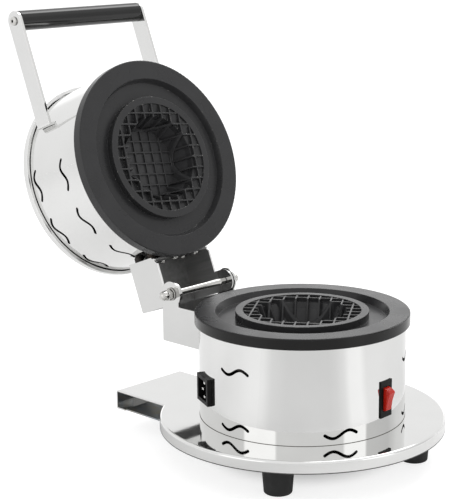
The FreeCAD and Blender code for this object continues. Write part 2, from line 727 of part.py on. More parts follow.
def power_inlet():
    """Appliance inlet: a flange whose back follows the drum, a body inside and a deep socket."""
    flange = inlet_box("inlet_flange", "inlet_width / 2", "inlet_height / 2", INLET_FACE,
                       "drum_radius - inlet_width / 4")
    drum = cylinder("inlet_drum", WEB_FRONT, "inlet_height + 20",
                    z=f"{INLET_MIDDLE} - inlet_height / 2 - 10")
    body = inlet_box("inlet_body", INLET_HALF, INLET_HALF_UP, f"{INLET_FACE} - 1", INLET_BACK)
    solid = fuse("inlet_solid", cut("inlet_flange_seated", flange, drum), body)
    socket_back = f"{INLET_FACE} - inlet_socket_depth"
    socket = inlet_box("inlet_socket", "inlet_width / 2 - inlet_wall * 2",
                       "inlet_height / 2 - inlet_wall * 2", f"{INLET_FACE} + 1", socket_back)
    tools = [socket]
    blades = []
    for index, (side, up) in enumerate(((1, -1), (-1, 0), (1, 1))):
        x, z = f"{side} * blade_step", f"{INLET_MIDDLE} + {up} * blade_pitch"
        blades.append(box(f"inlet_blade_{index}", f"{x} - blade_width / 2", f"{x} + blade_width / 2",
                          f"1.5 - {INLET_FACE}", f"9 - {INLET_BACK}", f"{z} - blade_height / 2",
                          f"{z} + blade_height / 2"))
        tools.append(box(f"inlet_blade_room_{index}", f"{x} - blade_width / 2 - seat_clear",
                         f"{x} + blade_width / 2 + seat_clear", f"-({socket_back}) - 1",
                         f"10 - {INLET_BACK}", f"{z} - blade_height / 2 - seat_clear",
                         f"{z} + blade_height / 2 + seat_clear"))
    angle = size("inlet_angle")
    node(turned("inlet_turned", cut("inlet_cut", solid, *tools), angle), "power_inlet")
    node(turned("inlet_blades_turned", group("inlet_blade_group", blades), angle), "inlet_pins")


def switch():
    """Rocker switch: bezel and body in the drum wall, red rocker on a cross axle."""
    face = "drum_radius + bezel_proud"
    bezel = switch_box("switch_bezel", "bezel_width / 2", "bezel_height / 2", face, "drum_radius * 0.9")
    drum = cylinder("switch_drum", WEB_FRONT, "bezel_height + 20",
                    z=f"{SWITCH_MIDDLE} - bezel_height / 2 - 10")
    body = switch_box("switch_body", SWITCH_HALF, SWITCH_HALF_UP, f"{face} - 0.5", SWITCH_BACK)
    solid = fuse("switch_solid", cut("switch_bezel_seated", bezel, drum), body)
    well = switch_box("switch_well", "rocker_width / 2 + rocker_clear", "rocker_radius + rocker_clear",
                      f"{face} + 1", f"{face} - 14")
    pivot = f"{face} - rocker_pivot"
    bore = cylinder("switch_bore", "rocker_axle_radius + seat_clear", f"2 * {SWITCH_HALF}",
                    f"-{SWITCH_HALF}", f"-({pivot})", SWITCH_MIDDLE, "X")
    angle = size("switch_angle")
    node(turned("switch_turned", cut("switch_cut", solid, well, bore), angle), "switch_housing")
    reach, valley = size("rocker_radius") + 1, size("rocker_valley")
    crest = valley + reach * math.tan(math.radians(size("rocker_slope")))
    corners = [(crest, reach), (valley, 0), (crest, -reach), (-1, -reach), (-valley, -reach / 2),
               (-valley, reach / 2), (-1, reach)]
    left = -size("rocker_width") / 2
    outline = doc.addObject("Part::Polygon", "rocker_outline")
    outline.Nodes = [Vector(left, -out, up) for out, up in corners]
    outline.Close = True
    prism = doc.addObject("Part::Extrusion", "rocker_prism")
    prism.Base = outline
    prism.Dir = Vector(1, 0, 0)
    prism.Solid = True
    prism.setExpression("LengthFwd", formula("rocker_width"))
    barrel = cylinder("rocker_barrel", "rocker_radius", "rocker_width", "-rocker_width / 2", 0, 0, "X")
    slab = common("rocker_slab", prism, barrel)
    axle = cylinder("rocker_axle", "rocker_axle_radius", f"2 * ({SWITCH_HALF} - hole_clear)",
                    f"hole_clear - {SWITCH_HALF}", 0, 0, "X")
    rocker = fuse("rocker_fuse", slab, axle)
    rocker.Placement = Placement(Vector(), Rotation(Vector(1, 0, 0), size("rocker_tilt")))
    rocker.setExpression("Placement.Base.y", formula(f"-({pivot})"))
    rocker.setExpression("Placement.Base.z", formula(SWITCH_MIDDLE))
    node(turned("rocker_turned", rocker, angle), "switch_rocker")


def lower_bracket():
    """Channel on the lower drum: two outer ears, a web, a floor and a rear wall the lid rests on."""
    top = f"{FLANGE_LOW} - 2.5"
    bottom = "parting - lower_bracket_depth"
    turn = math.radians(size("open_angle"))
    behind = size("upper_cheek_behind")
    rest = (behind + math.cos(math.pi - turn) * size("ear_radius")) / math.sin(turn)
    wall_top = f"{HINGE_UP} - {rest:.6f} - stop_gap"
    pieces = [
        box("lower_web", "-ear_outer", "ear_outer", WEB_FRONT, WEB_REAR, bottom, top),
        box("lower_floor", "-ear_outer", "ear_outer", WEB_FRONT, LOWER_REAR, bottom,
            f"{bottom} + bracket_sheet"),
        box("lower_rear_wall", "-ear_outer", "ear_outer", f"{LOWER_REAR} - bracket_sheet", LOWER_REAR,
            bottom, wall_top),
    ]
    for side, (near, far) in enumerate(((f"-({EAR_INNER}) - bracket_sheet", f"-({EAR_INNER})"),
                                        (EAR_INNER, "ear_outer"))):
        pieces.append(box(f"lower_cheek_{side}", near, far, CHEEK_FRONT, LOWER_REAR, bottom, top))
        pieces.append(box(f"lower_neck_{side}", near, far, f"{HINGE_BACK} - ear_neck", LOWER_REAR,
                          f"{top} - 1", HINGE_UP))
        pieces.append(cylinder(f"lower_ear_{side}", "ear_radius", "bracket_sheet", near,
                               HINGE_BACK, HINGE_UP, "X"))
    bore = cylinder("lower_pin_bore", "pin_radius + seat_clear", "ear_outer * 2 + 2",
                    "-ear_outer - 1", HINGE_BACK, HINGE_UP, "X")
    holes = bracket_holes("lower_web_hole", LOWER_ROWS)
    return node(cut("lower_bracket_cut", fuse("lower_bracket_fold", *pieces), bore, *holes), "lower_bracket")


def upper_bracket():
    """Channel on the upper drum: two cheeks that swing inside the lower ears, a web and a roof."""
    top = "parting + upper_bracket_top"
    low = "parting + upper_bracket_low"
    pieces = [
        box("upper_web", f"-({CHEEK_OUTER})", CHEEK_OUTER, WEB_FRONT, WEB_REAR,
            f"{FLANGE_HIGH} + 1", top),
        box("upper_roof", f"-({CHEEK_OUTER})", CHEEK_OUTER, WEB_FRONT, UPPER_REAR,
            f"{top} - bracket_sheet", top),
    ]
    for side, (near, far) in enumerate(((f"-({CHEEK_OUTER})", f"-({CHEEK_INNER})"),
                                        (CHEEK_INNER, CHEEK_OUTER))):
        plate = box(f"upper_cheek_{side}", near, far, CHEEK_FRONT, UPPER_REAR, low, top)
        corner = box(f"upper_corner_{side}", f"{near} - 1", f"{far} + 1", -5, 5, -5, 5)
        diamond = doc.addObject("Part::Compound", f"upper_diamond_{side}")
        diamond.Links = [corner]
        diamond.Placement = Placement(Vector(), Rotation(Vector(1, 0, 0), 45))
        diamond.setExpression("Placement.Base.y", formula(CHEEK_FRONT))
        diamond.setExpression("Placement.Base.z", formula(low))
        pieces.append(cut(f"upper_cheek_clipped_{side}", plate, diamond))
        pieces.append(box(f"upper_neck_{side}", near, far, f"{HINGE_BACK} - upper_ear_radius",
                          UPPER_REAR, HINGE_UP, f"{low} + 1"))
        ear = cylinder(f"upper_ear_round_{side}", "upper_ear_radius", "bracket_sheet", near,
                       HINGE_BACK, HINGE_UP, "X")
        trim = box(f"upper_ear_trim_{side}", f"{near} - 1", f"{far} + 1", UPPER_REAR,
                   f"{UPPER_REAR} + 5", f"{HINGE_UP} - 20", f"{HINGE_UP} + 20")
        pieces.append(cut(f"upper_ear_{side}", ear, trim))
    bore = cylinder("upper_pin_bore", "pin_radius + seat_clear", "ear_outer * 2 + 2",
                    "-ear_outer - 1", HINGE_BACK, HINGE_UP, "X")
    holes = bracket_holes("upper_web_hole", UPPER_ROWS)
    return lid_node(cut("upper_bracket_cut", fuse("upper_bracket_fold", *pieces), bore, *holes),
                    "upper_bracket")


def bracket_fixings(name, rows):
    """Screws, nuts and spacers that hold a flat bracket web to a round drum."""
    screws, nuts, tubes = [], [], []
    for row, height in enumerate(rows):
        for column, side in enumerate(BRACKET_SIDES):
            tag = f"{name}_{row}_{column}"
            edge = f"(abs({side}) + bracket_nut_round)"
            seat = f"sqrt(({INSIDE})^2 - {edge}^2) - seat_clear"
            low = f"{seat} - bracket_nut_height"
            shank = cylinder(f"{tag}_shank", "bracket_screw_radius", f"{WEB_REAR} - ({low}) + 1.5",
                             side, f"{low} - 1.5", height, "Y")
            head = cylinder(f"{tag}_head", "bracket_head_radius", "bracket_head_height", side,
                            WEB_REAR, height, "Y")
            screws.append(fuse(f"{tag}_screw", shank, head))
            body = hexagon(f"{tag}_hex", "bracket_nut_round", "bracket_nut_height", side, low,
                           height, "Y")
            bore = cylinder(f"{tag}_thread", "bracket_screw_radius + seat_clear",
                            "bracket_nut_height + 2", side, f"{low} - 1", height, "Y")
            nuts.append(cut(f"{tag}_nut", body, bore))
            if side == "0":
                continue
            tube = cylinder(f"{tag}_tube", "bracket_spacer_radius", "drum_radius * 0.2", side,
                            f"{WEB_FRONT} - drum_radius * 0.2", height, "Y")
            hole = cylinder(f"{tag}_tube_hole", "bracket_screw_radius + hole_clear",
                            "drum_radius * 0.3", side, f"{WEB_FRONT} - drum_radius * 0.25", height, "Y")
            drum = cylinder(f"{tag}_drum", WEB_FRONT, "40", z=f"{height} - 20")
            tubes.append(cut(f"{tag}_spacer", tube, hole, drum))
    return (group(f"{name}_screw_group", screws), group(f"{name}_nut_group", nuts),
            group(f"{name}_spacer_group", tubes))


def hinge_hardware():
    """Shouldered hinge pin across the ears, with a washer and a domed nut at each end."""
    reach = "ear_outer + washer_height + dome_hex_height + 0.5"
    rod = cylinder("hinge_rod", "pin_radius", "2 * ear_outer", "-ear_outer", HINGE_BACK,
                   HINGE_UP, "X")
    stud = cylinder("hinge_stud", "stud_radius", f"2 * ({reach})", f"-({reach})", HINGE_BACK,
                    HINGE_UP, "X")
    node(fuse("hinge_pin_fuse", rod, stud), "hinge_pin")
    washers, nuts = [], []
    for side in (-1, 1):
        near = "ear_outer" if side > 0 else "-ear_outer - washer_height"
        disc = cylinder(f"washer_disc_{side + 1}", "washer_radius", "washer_height", near,
                        HINGE_BACK, HINGE_UP, "X")
        hole = cylinder(f"washer_hole_{side + 1}", "stud_radius + hole_clear", "washer_height + 2",
                        f"{near} - 1", HINGE_BACK, HINGE_UP, "X")
        washers.append(cut(f"washer_{side + 1}", disc, hole))
        start = "ear_outer + washer_height"
        hex_low = start if side > 0 else f"-({start}) - dome_hex_height"
        barrel_low = start if side > 0 else f"-({start}) - dome_hex_height - dome_straight"
        body = hexagon(f"dome_hex_{side + 1}", "dome_round", "dome_hex_height", hex_low,
                       HINGE_BACK, HINGE_UP, "X")
        barrel = cylinder(f"dome_barrel_{side + 1}", "dome_radius", "dome_hex_height + dome_straight",
                          barrel_low, HINGE_BACK, HINGE_UP, "X")
        cap = bind(doc.addObject("Part::Sphere", f"dome_cap_{side + 1}"), Radius="dome_radius")
        place(cap, f"{side} * ({start} + dome_hex_height + dome_straight)", HINGE_BACK, HINGE_UP)
        depth = "dome_hex_height + 1"
        hole_low = start if side > 0 else f"-({start}) - ({depth})"
        thread = cylinder(f"dome_thread_{side + 1}", "stud_radius + seat_clear", depth, hole_low,
                          HINGE_BACK, HINGE_UP, "X")
        nuts.append(cut(f"dome_{side + 1}", fuse(f"dome_solid_{side + 1}", body, barrel, cap), thread))
    node(group("washer_group", washers), "hinge_washers")
    node(group("dome_group", nuts), "hinge_nuts")


def upper_cover():
    """Shallow lid over the upper drum, with a lip that stands off the wall."""
    outer = cylinder("cover_outer", COVER_RADIUS, f"{COVER_TOP} - ({COVER_LOW})", z=COVER_LOW)
    top = size("parting") + size("upper_shell_top") + size("cover_sheet")
    soft = rounded("cover_round", outer, "grip_edge", ring_at(top))
    inner = cylinder("cover_inner", "drum_radius + cover_gap", f"{COVER_UNDER} - ({COVER_LOW}) + 1",
                     z=f"{COVER_LOW} - 1")
    holes = [
        cylinder(f"cover_hole_{index}", "tie_radius + hole_clear", "cover_sheet + 4", x, y,
                 f"{COVER_UNDER} - 2")
        for index, (x, y) in enumerate(TIES)
    ]
    return lid_node(cut("upper_cover_cut", soft, inner, *holes), "upper_cover")


def upper_insides(heater, shield):
    twin = mould("upper_mould", "upper_rib_turn")
    lid_node(mirrored("upper_mould_mirror", twin), "upper_mould")
    lid_node(mirrored("upper_heater_mirror", heater), "upper_heater")
    lid_node(mirrored("upper_shield_mirror", shield), "upper_heat_shield")
    shield_top = "parting + boss_depth + shield_sheet"
    lid_node(spacers("upper_spacer", shield_top, COVER_UNDER), "upper_spacers")
    lid_node(tie_screws("upper_tie", "parting + boss_depth - tie_grip", COVER_TOP, COVER_TOP),
             "upper_tie_screws")


def handle():
    """Two flat arms, bent in at the foot and let into slots of the upper drum, and a round grip."""
    screws, bores = [], []
    low, high = f"{ARM_MIDDLE} - arm_half", f"{ARM_MIDDLE} + arm_half"
    for label, side in (("handle_arm_left", -1), ("handle_arm_right", 1)):
        span = (f"-{ARM_SIDE}", f"-({ARM_INNER})") if side < 0 else (ARM_INNER, ARM_SIDE)
        leg_span = (f"-{ARM_SIDE}", f"-{ARM_LEG_END}") if side < 0 else (ARM_LEG_END, ARM_SIDE)
        bar = box(f"{label}_bar", *span, "-grip_forward", f"-{ARM_FOOT}", low, high)
        tip = cylinder(f"{label}_tip", "arm_half", "arm_sheet", span[0], "-grip_forward",
                       ARM_MIDDLE, "X")
        leg = box(f"{label}_leg", *leg_span, f"-{ARM_FOOT} - arm_sheet", f"-{ARM_FOOT}", low, high)
        hole = cylinder(f"{label}_hole", "grip_screw_radius + hole_clear", "arm_sheet + 2",
                        f"{span[0]} - 1", "-grip_forward", ARM_MIDDLE, "X")
        blank = cut(f"{label}_flat", fuse(f"{label}_fold", bar, tip, leg), hole)

        def bend(edge, whole=blank, side=side):
            bounds = edge.BoundBox
            limits = whole.Shape.BoundBox
            outer = limits.XMin if side < 0 else limits.XMax
            upright = bounds.XLength < 1e-6 and bounds.YLength < 1e-6
            at_foot = abs(bounds.YMin - limits.YMax) < 1e-6
            return upright and at_foot and abs(bounds.XMin - outer) < 1e-6

        lid_node(rounded(f"{label}_bent", blank, "arm_sheet", bend), label)
        inner_end = f"{ARM_SIDE} - grip_screw_length"
        shank_low = f"-{ARM_SIDE}" if side < 0 else inner_end
        shank = cylinder(f"{label}_shank", "grip_screw_radius", "grip_screw_length", shank_low,
                         "-grip_forward", ARM_MIDDLE, "X")
        head_low = f"-{ARM_SIDE} - grip_head_height" if side < 0 else ARM_SIDE
        head = cylinder(f"{label}_head", "grip_head_radius", "grip_head_height", head_low,
                        "-grip_forward", ARM_MIDDLE, "X")
        screws.append(fuse(f"{label}_screw", shank, head))
        bore_low = f"-({ARM_INNER})" if side < 0 else f"{inner_end} - 1"
        bores.append(cylinder(f"{label}_bore", "grip_screw_radius + seat_clear",
                              f"{ARM_INNER} - ({inner_end}) + 1", bore_low, "-grip_forward",
                              ARM_MIDDLE, "X"))
    rod = cylinder("grip_rod", "grip_radius", f"2 * ({ARM_INNER})", f"-({ARM_INNER})",
                   "-grip_forward", ARM_MIDDLE, "X")

    def end_ring(edge):
        return edge.BoundBox.XLength < 1e-6

    soft = rounded("grip_soft", rod, "grip_edge", end_ring)
    lid_node(cut("grip_cut", soft, *bores), "handle_grip")
    lid_node(group("grip_screw_group", screws), "grip_screws")


base_plate()
rear_brace()
feet()
lower_shell()
node(mould("lower_mould", "lower_rib_turn"), "lower_mould")
heater_piece = lower_heater()
shield_piece = lower_heat_shield()
lower_insides()
power_inlet()
switch()
lower_bracket()
lower_fixings = bracket_fixings("lower_fixing", LOWER_ROWS)
for fixing, kind in zip(lower_fixings, ("screws", "nuts", "spacers")):
    node(fixing, f"lower_bracket_{kind}")
hinge_hardware()
upper_shell()
upper_cover()
upper_insides(heater_piece, shield_piece)
upper_bracket()
upper_fixings = bracket_fixings("upper_fixing", UPPER_ROWS)
for fixing, kind in zip(upper_fixings, ("screws", "nuts", "spacers")):
    lid_node(fixing, f"upper_bracket_{kind}")
handle()
doc.recompute()

for item in doc.Objects:
    if "Invalid" in item.State or "Error" in item.State:
        raise RuntimeError(f"{item.Name} failed: {item.State}")
for item in nodes:
    if item.Shape.isNull() or not item.Shape.isValid() or item.Shape.Volume <= 0:
        raise RuntimeError(f"{item.Label} has no valid shape")
os.makedirs("parts", exist_ok=True)
for item in nodes:
    item.Shape.exportStep(f"parts/{item.Label}.step")
    bounds = item.Shape.BoundBox
    print(item.Label, len(item.Shape.Solids), round(item.Shape.Volume / 1000, 2),
          [round(number, 1) for number in (bounds.XMin, bounds.XMax, bounds.YMin, bounds.YMax,
                                           bounds.ZMin, bounds.ZMax)])
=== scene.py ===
import json
import math

import bmesh
import bpy
from bpy.props import FloatProperty, FloatVectorProperty, PointerProperty, StringProperty
from bpy.types import Operator, Panel, PropertyGroup
from mathutils import Matrix, Vector


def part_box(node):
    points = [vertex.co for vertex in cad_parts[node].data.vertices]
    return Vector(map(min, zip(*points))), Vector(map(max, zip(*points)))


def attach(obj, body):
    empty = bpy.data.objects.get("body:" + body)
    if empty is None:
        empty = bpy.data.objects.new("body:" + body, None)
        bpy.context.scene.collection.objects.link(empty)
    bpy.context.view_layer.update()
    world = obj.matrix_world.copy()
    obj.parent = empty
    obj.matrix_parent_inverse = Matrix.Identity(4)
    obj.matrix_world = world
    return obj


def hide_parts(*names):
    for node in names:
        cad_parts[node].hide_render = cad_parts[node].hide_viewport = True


bl_info = {
    "name": "Waffle Press",
    "version": (1, 0, 0),
    "blender": (4, 5, 0),
    "location": "3D View > Sidebar > Waffle Press",
    "description": "Dresses a hinged waffle press with finishes, fine pieces and a stage",
    "category": "Object",
}

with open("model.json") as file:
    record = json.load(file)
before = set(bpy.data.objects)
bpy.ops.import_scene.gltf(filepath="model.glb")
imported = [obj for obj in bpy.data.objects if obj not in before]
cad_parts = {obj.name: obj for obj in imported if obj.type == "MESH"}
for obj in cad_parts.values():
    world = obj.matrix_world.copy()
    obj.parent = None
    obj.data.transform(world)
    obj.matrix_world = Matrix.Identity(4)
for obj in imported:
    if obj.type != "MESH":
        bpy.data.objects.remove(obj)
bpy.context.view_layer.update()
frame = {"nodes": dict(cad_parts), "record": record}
BODIES = {
    node: body for body, members in frame["record"]["behaviour"]["bodies"].items() for node in members
}
HINGE = next(joint for joint in frame["record"]["behaviour"]["joints"] if joint["name"] == "lid_hinge")
PIN = Vector(HINGE["pos_m"])
OPEN = math.radians(HINGE["range_deg"][1])
# The lid was drawn shut and stands open, so its own directions are turned back by this.
SHUT_TO_OPEN = Matrix.Translation(PIN) @ Matrix.Rotation(-OPEN, 4, "X") @ Matrix.Translation(-PIN)
MM = 0.001
# Points this close are one point, folds this flat are none, and sharper folds than this are creases.
SAME_POINT = 0.002 * MM
SAME_PLANE = math.radians(0.3)
CREASE = math.radians(32)


def linear(hex_colour):
    """Linear red, green, blue and alpha of an sRGB hex colour."""
    levels = [int(hex_colour[index:index + 2], 16) / 255 for index in (1, 3, 5)]
    return (*[v / 12.92 if v <= 0.04045 else ((v + 0.055) / 1.055) ** 2.4 for v in levels], 1.0)


def grey(level):
    """A neutral linear colour."""
    return (level, level, level, 1.0)


def per_mm(size):
    """Texture scale that gives features about this many millimetres across."""
    return 1 / (size * MM)


def add_node(tree, kind, settings=None, links=None, stops=None):
    """Add one shader node with its options, plain input values, incoming links and ramp stops."""
    node = tree.nodes.new(kind)
    for name, value in (settings or {}).items():
        if isinstance(name, str) and name in node.bl_rna.properties:
            setattr(node, name, value)
        else:
            node.inputs[name].default_value = value
    for name, socket in (links or {}).items():
        tree.links.new(socket, node.inputs[name])
    if stops:
        elements = node.color_ramp.elements
        for position, colour in stops[1:-1]:
            elements.new(position).color = colour
        for element, (position, colour) in ((elements[0], stops[0]), (elements[-1], stops[-1])):
            element.position = position
            element.color = colour
    return node


def new_material(name, settings):
    """An empty material, its node tree and its surface shader with the plain values set."""
    material = bpy.data.materials.new(name)
    material.use_nodes = True
    tree = material.node_tree
    shader = tree.nodes["Principled BSDF"]
    for socket, value in settings.items():
        shader.inputs[socket].default_value = value
    return material, tree, shader


def feed(tree, shader, links):
    """Join sockets to a shader's inputs."""
    for name, socket in links.items():
        tree.links.new(socket, shader.inputs[name])


def polished_stainless(name, colours, shade=None):
    """Cold-rolled stainless sheet, buffed to a mirror."""
    # Clear reflections that wander a little with the sheet, faint level buffing lines and a few smudges.
    bright, smudged = shade or (colours.steel, colours.steel_smudge)
    material, tree, shader = new_material(name, {"Metallic": 1.0})
    spot = add_node(tree, "ShaderNodeTexCoord").outputs["Object"]
    smudge = add_node(tree, "ShaderNodeTexNoise", {"Scale": per_mm(35), "Detail": 4.0}, {"Vector": spot})
    flat = add_node(tree, "ShaderNodeMapping", {"Scale": (1.0, 1.0, 40.0)}, {"Vector": spot})
    lines = add_node(tree, "ShaderNodeTexNoise", {"Scale": per_mm(40), "Detail": 3.0},
                     {"Vector": flat.outputs["Vector"]})
    tint = add_node(tree, "ShaderNodeMix", {"data_type": "RGBA", 6: linear(bright), 7: linear(smudged)},
                    {0: smudge.outputs["Fac"]})
    mixed = add_node(tree, "ShaderNodeMath", {"operation": "MULTIPLY"},
                     {0: smudge.outputs["Fac"], 1: lines.outputs["Fac"]})
    rough = add_node(tree, "ShaderNodeMapRange", {"From Min": 0.1, "From Max": 0.5, "To Min": 0.03,
                                                  "To Max": 0.085}, {"Value": mixed.outputs["Value"]})
    wave = add_node(tree, "ShaderNodeTexNoise", {"Scale": per_mm(80), "Detail": 1.0}, {"Vector": spot})
    sheet = add_node(tree, "ShaderNodeBump", {"Strength": 0.25, "Distance": 0.1 * MM},
                     {"Height": wave.outputs["Fac"]})
    feed(tree, shader, {"Base Color": tint.outputs[2], "Roughness": rough.outputs["Result"],
                        "Normal": sheet.outputs["Normal"]})
    return material


def own_spot(tree, lid):
    """Coordinates in the press's own frame, with the lid's turned back to where it lies shut."""
    spot = add_node(tree, "ShaderNodeTexCoord").outputs["Object"]
    if not lid:
        return spot
    back = SHUT_TO_OPEN.inverted()
    turned = add_node(tree, "ShaderNodeMapping",
                      {"Location": back.translation, "Rotation": back.to_euler()}, {"Vector": spot})
    return turned.outputs["Vector"]


def within_box(tree, spot, low, high):
    """1 inside a box given by two corners in millimetres, 0 outside it."""
    parts = add_node(tree, "ShaderNodeSeparateXYZ", links={0: spot})
    inside = None
    for axis in range(3):
        middle, half = (low[axis] + high[axis]) / 2 * MM, (high[axis] - low[axis]) / 2 * MM
        step = add_node(tree, "ShaderNodeMath", {"operation": "COMPARE", 1: middle, 2: half},
                        {0: parts.outputs[axis]})
        if inside:
            step = add_node(tree, "ShaderNodeMath", {"operation": "MULTIPLY"},
                            {0: inside, 1: step.outputs["Value"]})
        inside = step.outputs["Value"]
    return inside


def within_drum(tree, spot, radius, top):
    """1 inside a cylinder around the drum's axis and below a height in millimetres, 0 outside it."""
    level = add_node(tree, "ShaderNodeVectorMath", {"operation": "MULTIPLY", 1: (1.0, 1.0, 0.0)},
                     {0: spot})
    reach = add_node(tree, "ShaderNodeVectorMath", {"operation": "LENGTH"}, {0: level.outputs["Vector"]})
    near = add_node(tree, "ShaderNodeMath", {"operation": "LESS_THAN", 1: radius * MM},
                    {0: reach.outputs["Value"]})
    height = add_node(tree, "ShaderNodeSeparateXYZ", links={0: spot})
    below = add_node(tree, "ShaderNodeMath", {"operation": "LESS_THAN", 1: top * MM},
                     {0: height.outputs["Z"]})
    both = add_node(tree, "ShaderNodeMath", {"operation": "MULTIPLY"},
                    {0: near.outputs["Value"], 1: below.outputs["Value"]})
    return both.outputs["Value"]


def paint_over(material, spot, inside, painted_tone, streak, values):
    """Paint a colour with upright runs over a finish where the mask is 1. It carries painted shade,
    painted highlights and a painted lift of light.
    """
    tree = material.node_tree
    shader = tree.nodes["Principled BSDF"]
    runs = add_node(tree, "ShaderNodeMapping", {"Scale": (6.0, 6.0, 0.6)}, {"Vector": spot})
    cloud = add_node(tree, "ShaderNodeTexNoise", {"Scale": per_mm(24), "Detail": 3.0},
                     {"Vector": runs.outputs["Vector"]})
    tint = add_node(tree, "ShaderNodeMix", {"data_type": "RGBA", 6: linear(painted_tone), 7: linear(streak)},
                    {0: cloud.outputs["Fac"]})
    bare = shader.inputs["Base Color"].links[0].from_socket
    mix = add_node(tree, "ShaderNodeMix", {"data_type": "RGBA"},
                   {0: inside, 6: bare, 7: tint.outputs[2]})
    tree.links.new(mix.outputs[2], shader.inputs["Base Color"])
    for socket, value in values.items():
        target = shader.inputs[socket]
        settings, links = {3: value}, {0: inside}
        if target.is_linked:
            links[2] = target.links[0].from_socket
        else:
            settings[2] = target.default_value
        tree.links.new(add_node(tree, "ShaderNodeMix", settings, links).outputs[0], target)
    return material


# Shader values of painted shade in satin and in matt, painted highlights on a hem and on cut edges, a
# painted lift of light in the bowls and painted shade on a mould's side.
SHADE_SATIN = {"Roughness": 0.4, "Metallic": 0.15}
SHADE_MATT = {"Roughness": 0.7, "Metallic": 0.0}
HEM_HIGHLIGHT = {"Roughness": 0.3}
EDGE_HIGHLIGHT = {"Roughness": 0.35}
BOWL_LIFT = {"Roughness": 0.4}
SIDE_SHADE = {"Roughness": 0.17}
# Where they lie, in millimetres with the lid shut: boxes by two corners, then radii and heights.
LOWER_CHANNEL_INSIDE = ((-37.3, 98.2, 90.0), (37.3, 145.3, 129.5))
LOWER_CHANNEL_UNDERSIDE = ((-39.1, 122.0, 88.0), (39.1, 146.0, 89.6))
UPPER_CHANNEL_INSIDE = ((-34.8, 96.0, 144.3), (34.8, 145.2, 187.3))
UPPER_CHANNEL_EDGE = ((-36.9, 99.0, 147.4), (36.9, 124.0, 148.3))
DECK_EDGE = ((-140.0, -140.0, 27.0), (140.0, 105.0, 28.9))
COVER_HEM = ((-140.0, -140.0, 226.0), (140.0, 140.0, 228.3))
DRUM_RADIUS = 96.1
LOWER_DRUM_TOP = 139.0
UPPER_DRUM_TOP = 236.0
BOWL_RADIUS = 42.0
MOULD_RADIUS = 99.6
ABOVE_MOULDS = 200.0


def paint_in_box(material, lid, corners, painted_tone, streak, values):
    """Paint a colour over a finish within a box."""
    spot = own_spot(material.node_tree, lid)
    inside = within_box(material.node_tree, spot, *corners)
    return paint_over(material, spot, inside, painted_tone, streak, values)


def paint_in_drum(material, lid, radius, top, painted_tone, streak, values):
    """Paint a colour over a finish within a cylinder around the drum's axis."""
    spot = own_spot(material.node_tree, lid)
    inside = within_drum(material.node_tree, spot, radius, top)
    return paint_over(material, spot, inside, painted_tone, streak, values)


def folded_stainless(name, colours, lid, inside):
    """Polished sheet folded to a hinge channel, with painted shade inside it."""
    # Bright outside, and a satin painted shade with upright streaks within the channel.
    material = polished_stainless(name, colours, (colours.folded, colours.folded_smudge))
    return paint_in_box(material, lid, inside, colours.painted_tone, colours.painted_tone_streak, SHADE_SATIN)


def lower_channel(name, colours):
    """The base's channel, with painted shade underneath as well, towards its rear edge."""
    # The deck mirrors the painted shade on the underside.
    material = folded_stainless(name, colours, False, LOWER_CHANNEL_INSIDE)
    return paint_in_box(material, False, LOWER_CHANNEL_UNDERSIDE,
                       colours.shade_black, colours.shade_black_streak, SHADE_MATT)


def upper_channel(name, colours):
    """The lid's channel, with painted shade inside and a painted highlight along the satin cut edges of
    its cheeks.
    """
    # A painted pale highlight runs along the front of each cheek, between its mirror outside and its
    # painted dark inside.
    material = folded_stainless(name, colours, True, UPPER_CHANNEL_INSIDE)
    return paint_in_box(material, True, UPPER_CHANNEL_EDGE, colours.hem, colours.steel, EDGE_HIGHLIGHT)


def rolled_stainless(name, colours, lid, top):
    """Polished sheet rolled to a drum, with painted shade on its inside and on the edges of its vents."""
    # A mirror outside, while the slots and gaps look into the painted shade.
    material = polished_stainless(name, colours)
    return paint_in_drum(material, lid, DRUM_RADIUS, top, colours.shade_black, colours.shade_black_streak, SHADE_MATT)


def lower_drum(name, colours):
    """The base's drum, with painted shade within its wall."""
    return rolled_stainless(name, colours, False, LOWER_DRUM_TOP)


def upper_drum(name, colours):
    """The lid's drum, with painted shade within its wall."""
    return rolled_stainless(name, colours, True, UPPER_DRUM_TOP)


def pressed_deck(name, colours):
    """Polished sheet pressed to a deck, with a painted contact shadow along its lower edge."""
    # A mirror with a thin line of painted shadow all along the foot of its rim.
    material = polished_stainless(name, colours)
    return paint_in_box(material, False, DECK_EDGE, colours.contact_shade, colours.painted_tone, SHADE_SATIN)


def spun_cover(name, colours):
    """Polished sheet spun to a shallow cap, with a satin hem where its edge is turned in, painted paler
    as a highlight.
    """
    # A mirror wall, and a softer painted highlight beside the dark gap to the drum.
    material = polished_stainless(name, colours)
    return paint_in_box(material, True, COVER_HEM, colours.hem, colours.steel, HEM_HIGHLIGHT)


def bowl_lifted_casting(name, colours, lid):
    """Coated casting whose bowl is painted paler, as a painted lift of light."""
    # The ribbed bowl is painted a shade greyer as painted light, and looks drier than the satin flange
    # around it.
    material = ptfe_coated_casting(name, colours)
    return paint_in_drum(material, lid, BOWL_RADIUS, ABOVE_MOULDS,
                        colours.bowl, colours.bowl_light, BOWL_LIFT)


def lid_casting(name, colours):
    """The lid's mould, with painted light in its bowl."""
    return bowl_lifted_casting(name, colours, True)


def base_casting(name, colours):
    """The base's mould, with painted light in its bowl and painted shade on its outer side."""
    # The side is painted nearly black as shade, and is shinier than the top.
    material = bowl_lifted_casting(name, colours, False)
    tree = material.node_tree
    spot = own_spot(tree, False)
    core = within_drum(tree, spot, MOULD_RADIUS, ABOVE_MOULDS)
    side = add_node(tree, "ShaderNodeMath", {"operation": "SUBTRACT", 0: 1.0}, {1: core})
    return paint_over(material, spot, side.outputs["Value"], colours.shade_black, colours.shade_black_streak, SIDE_SHADE)


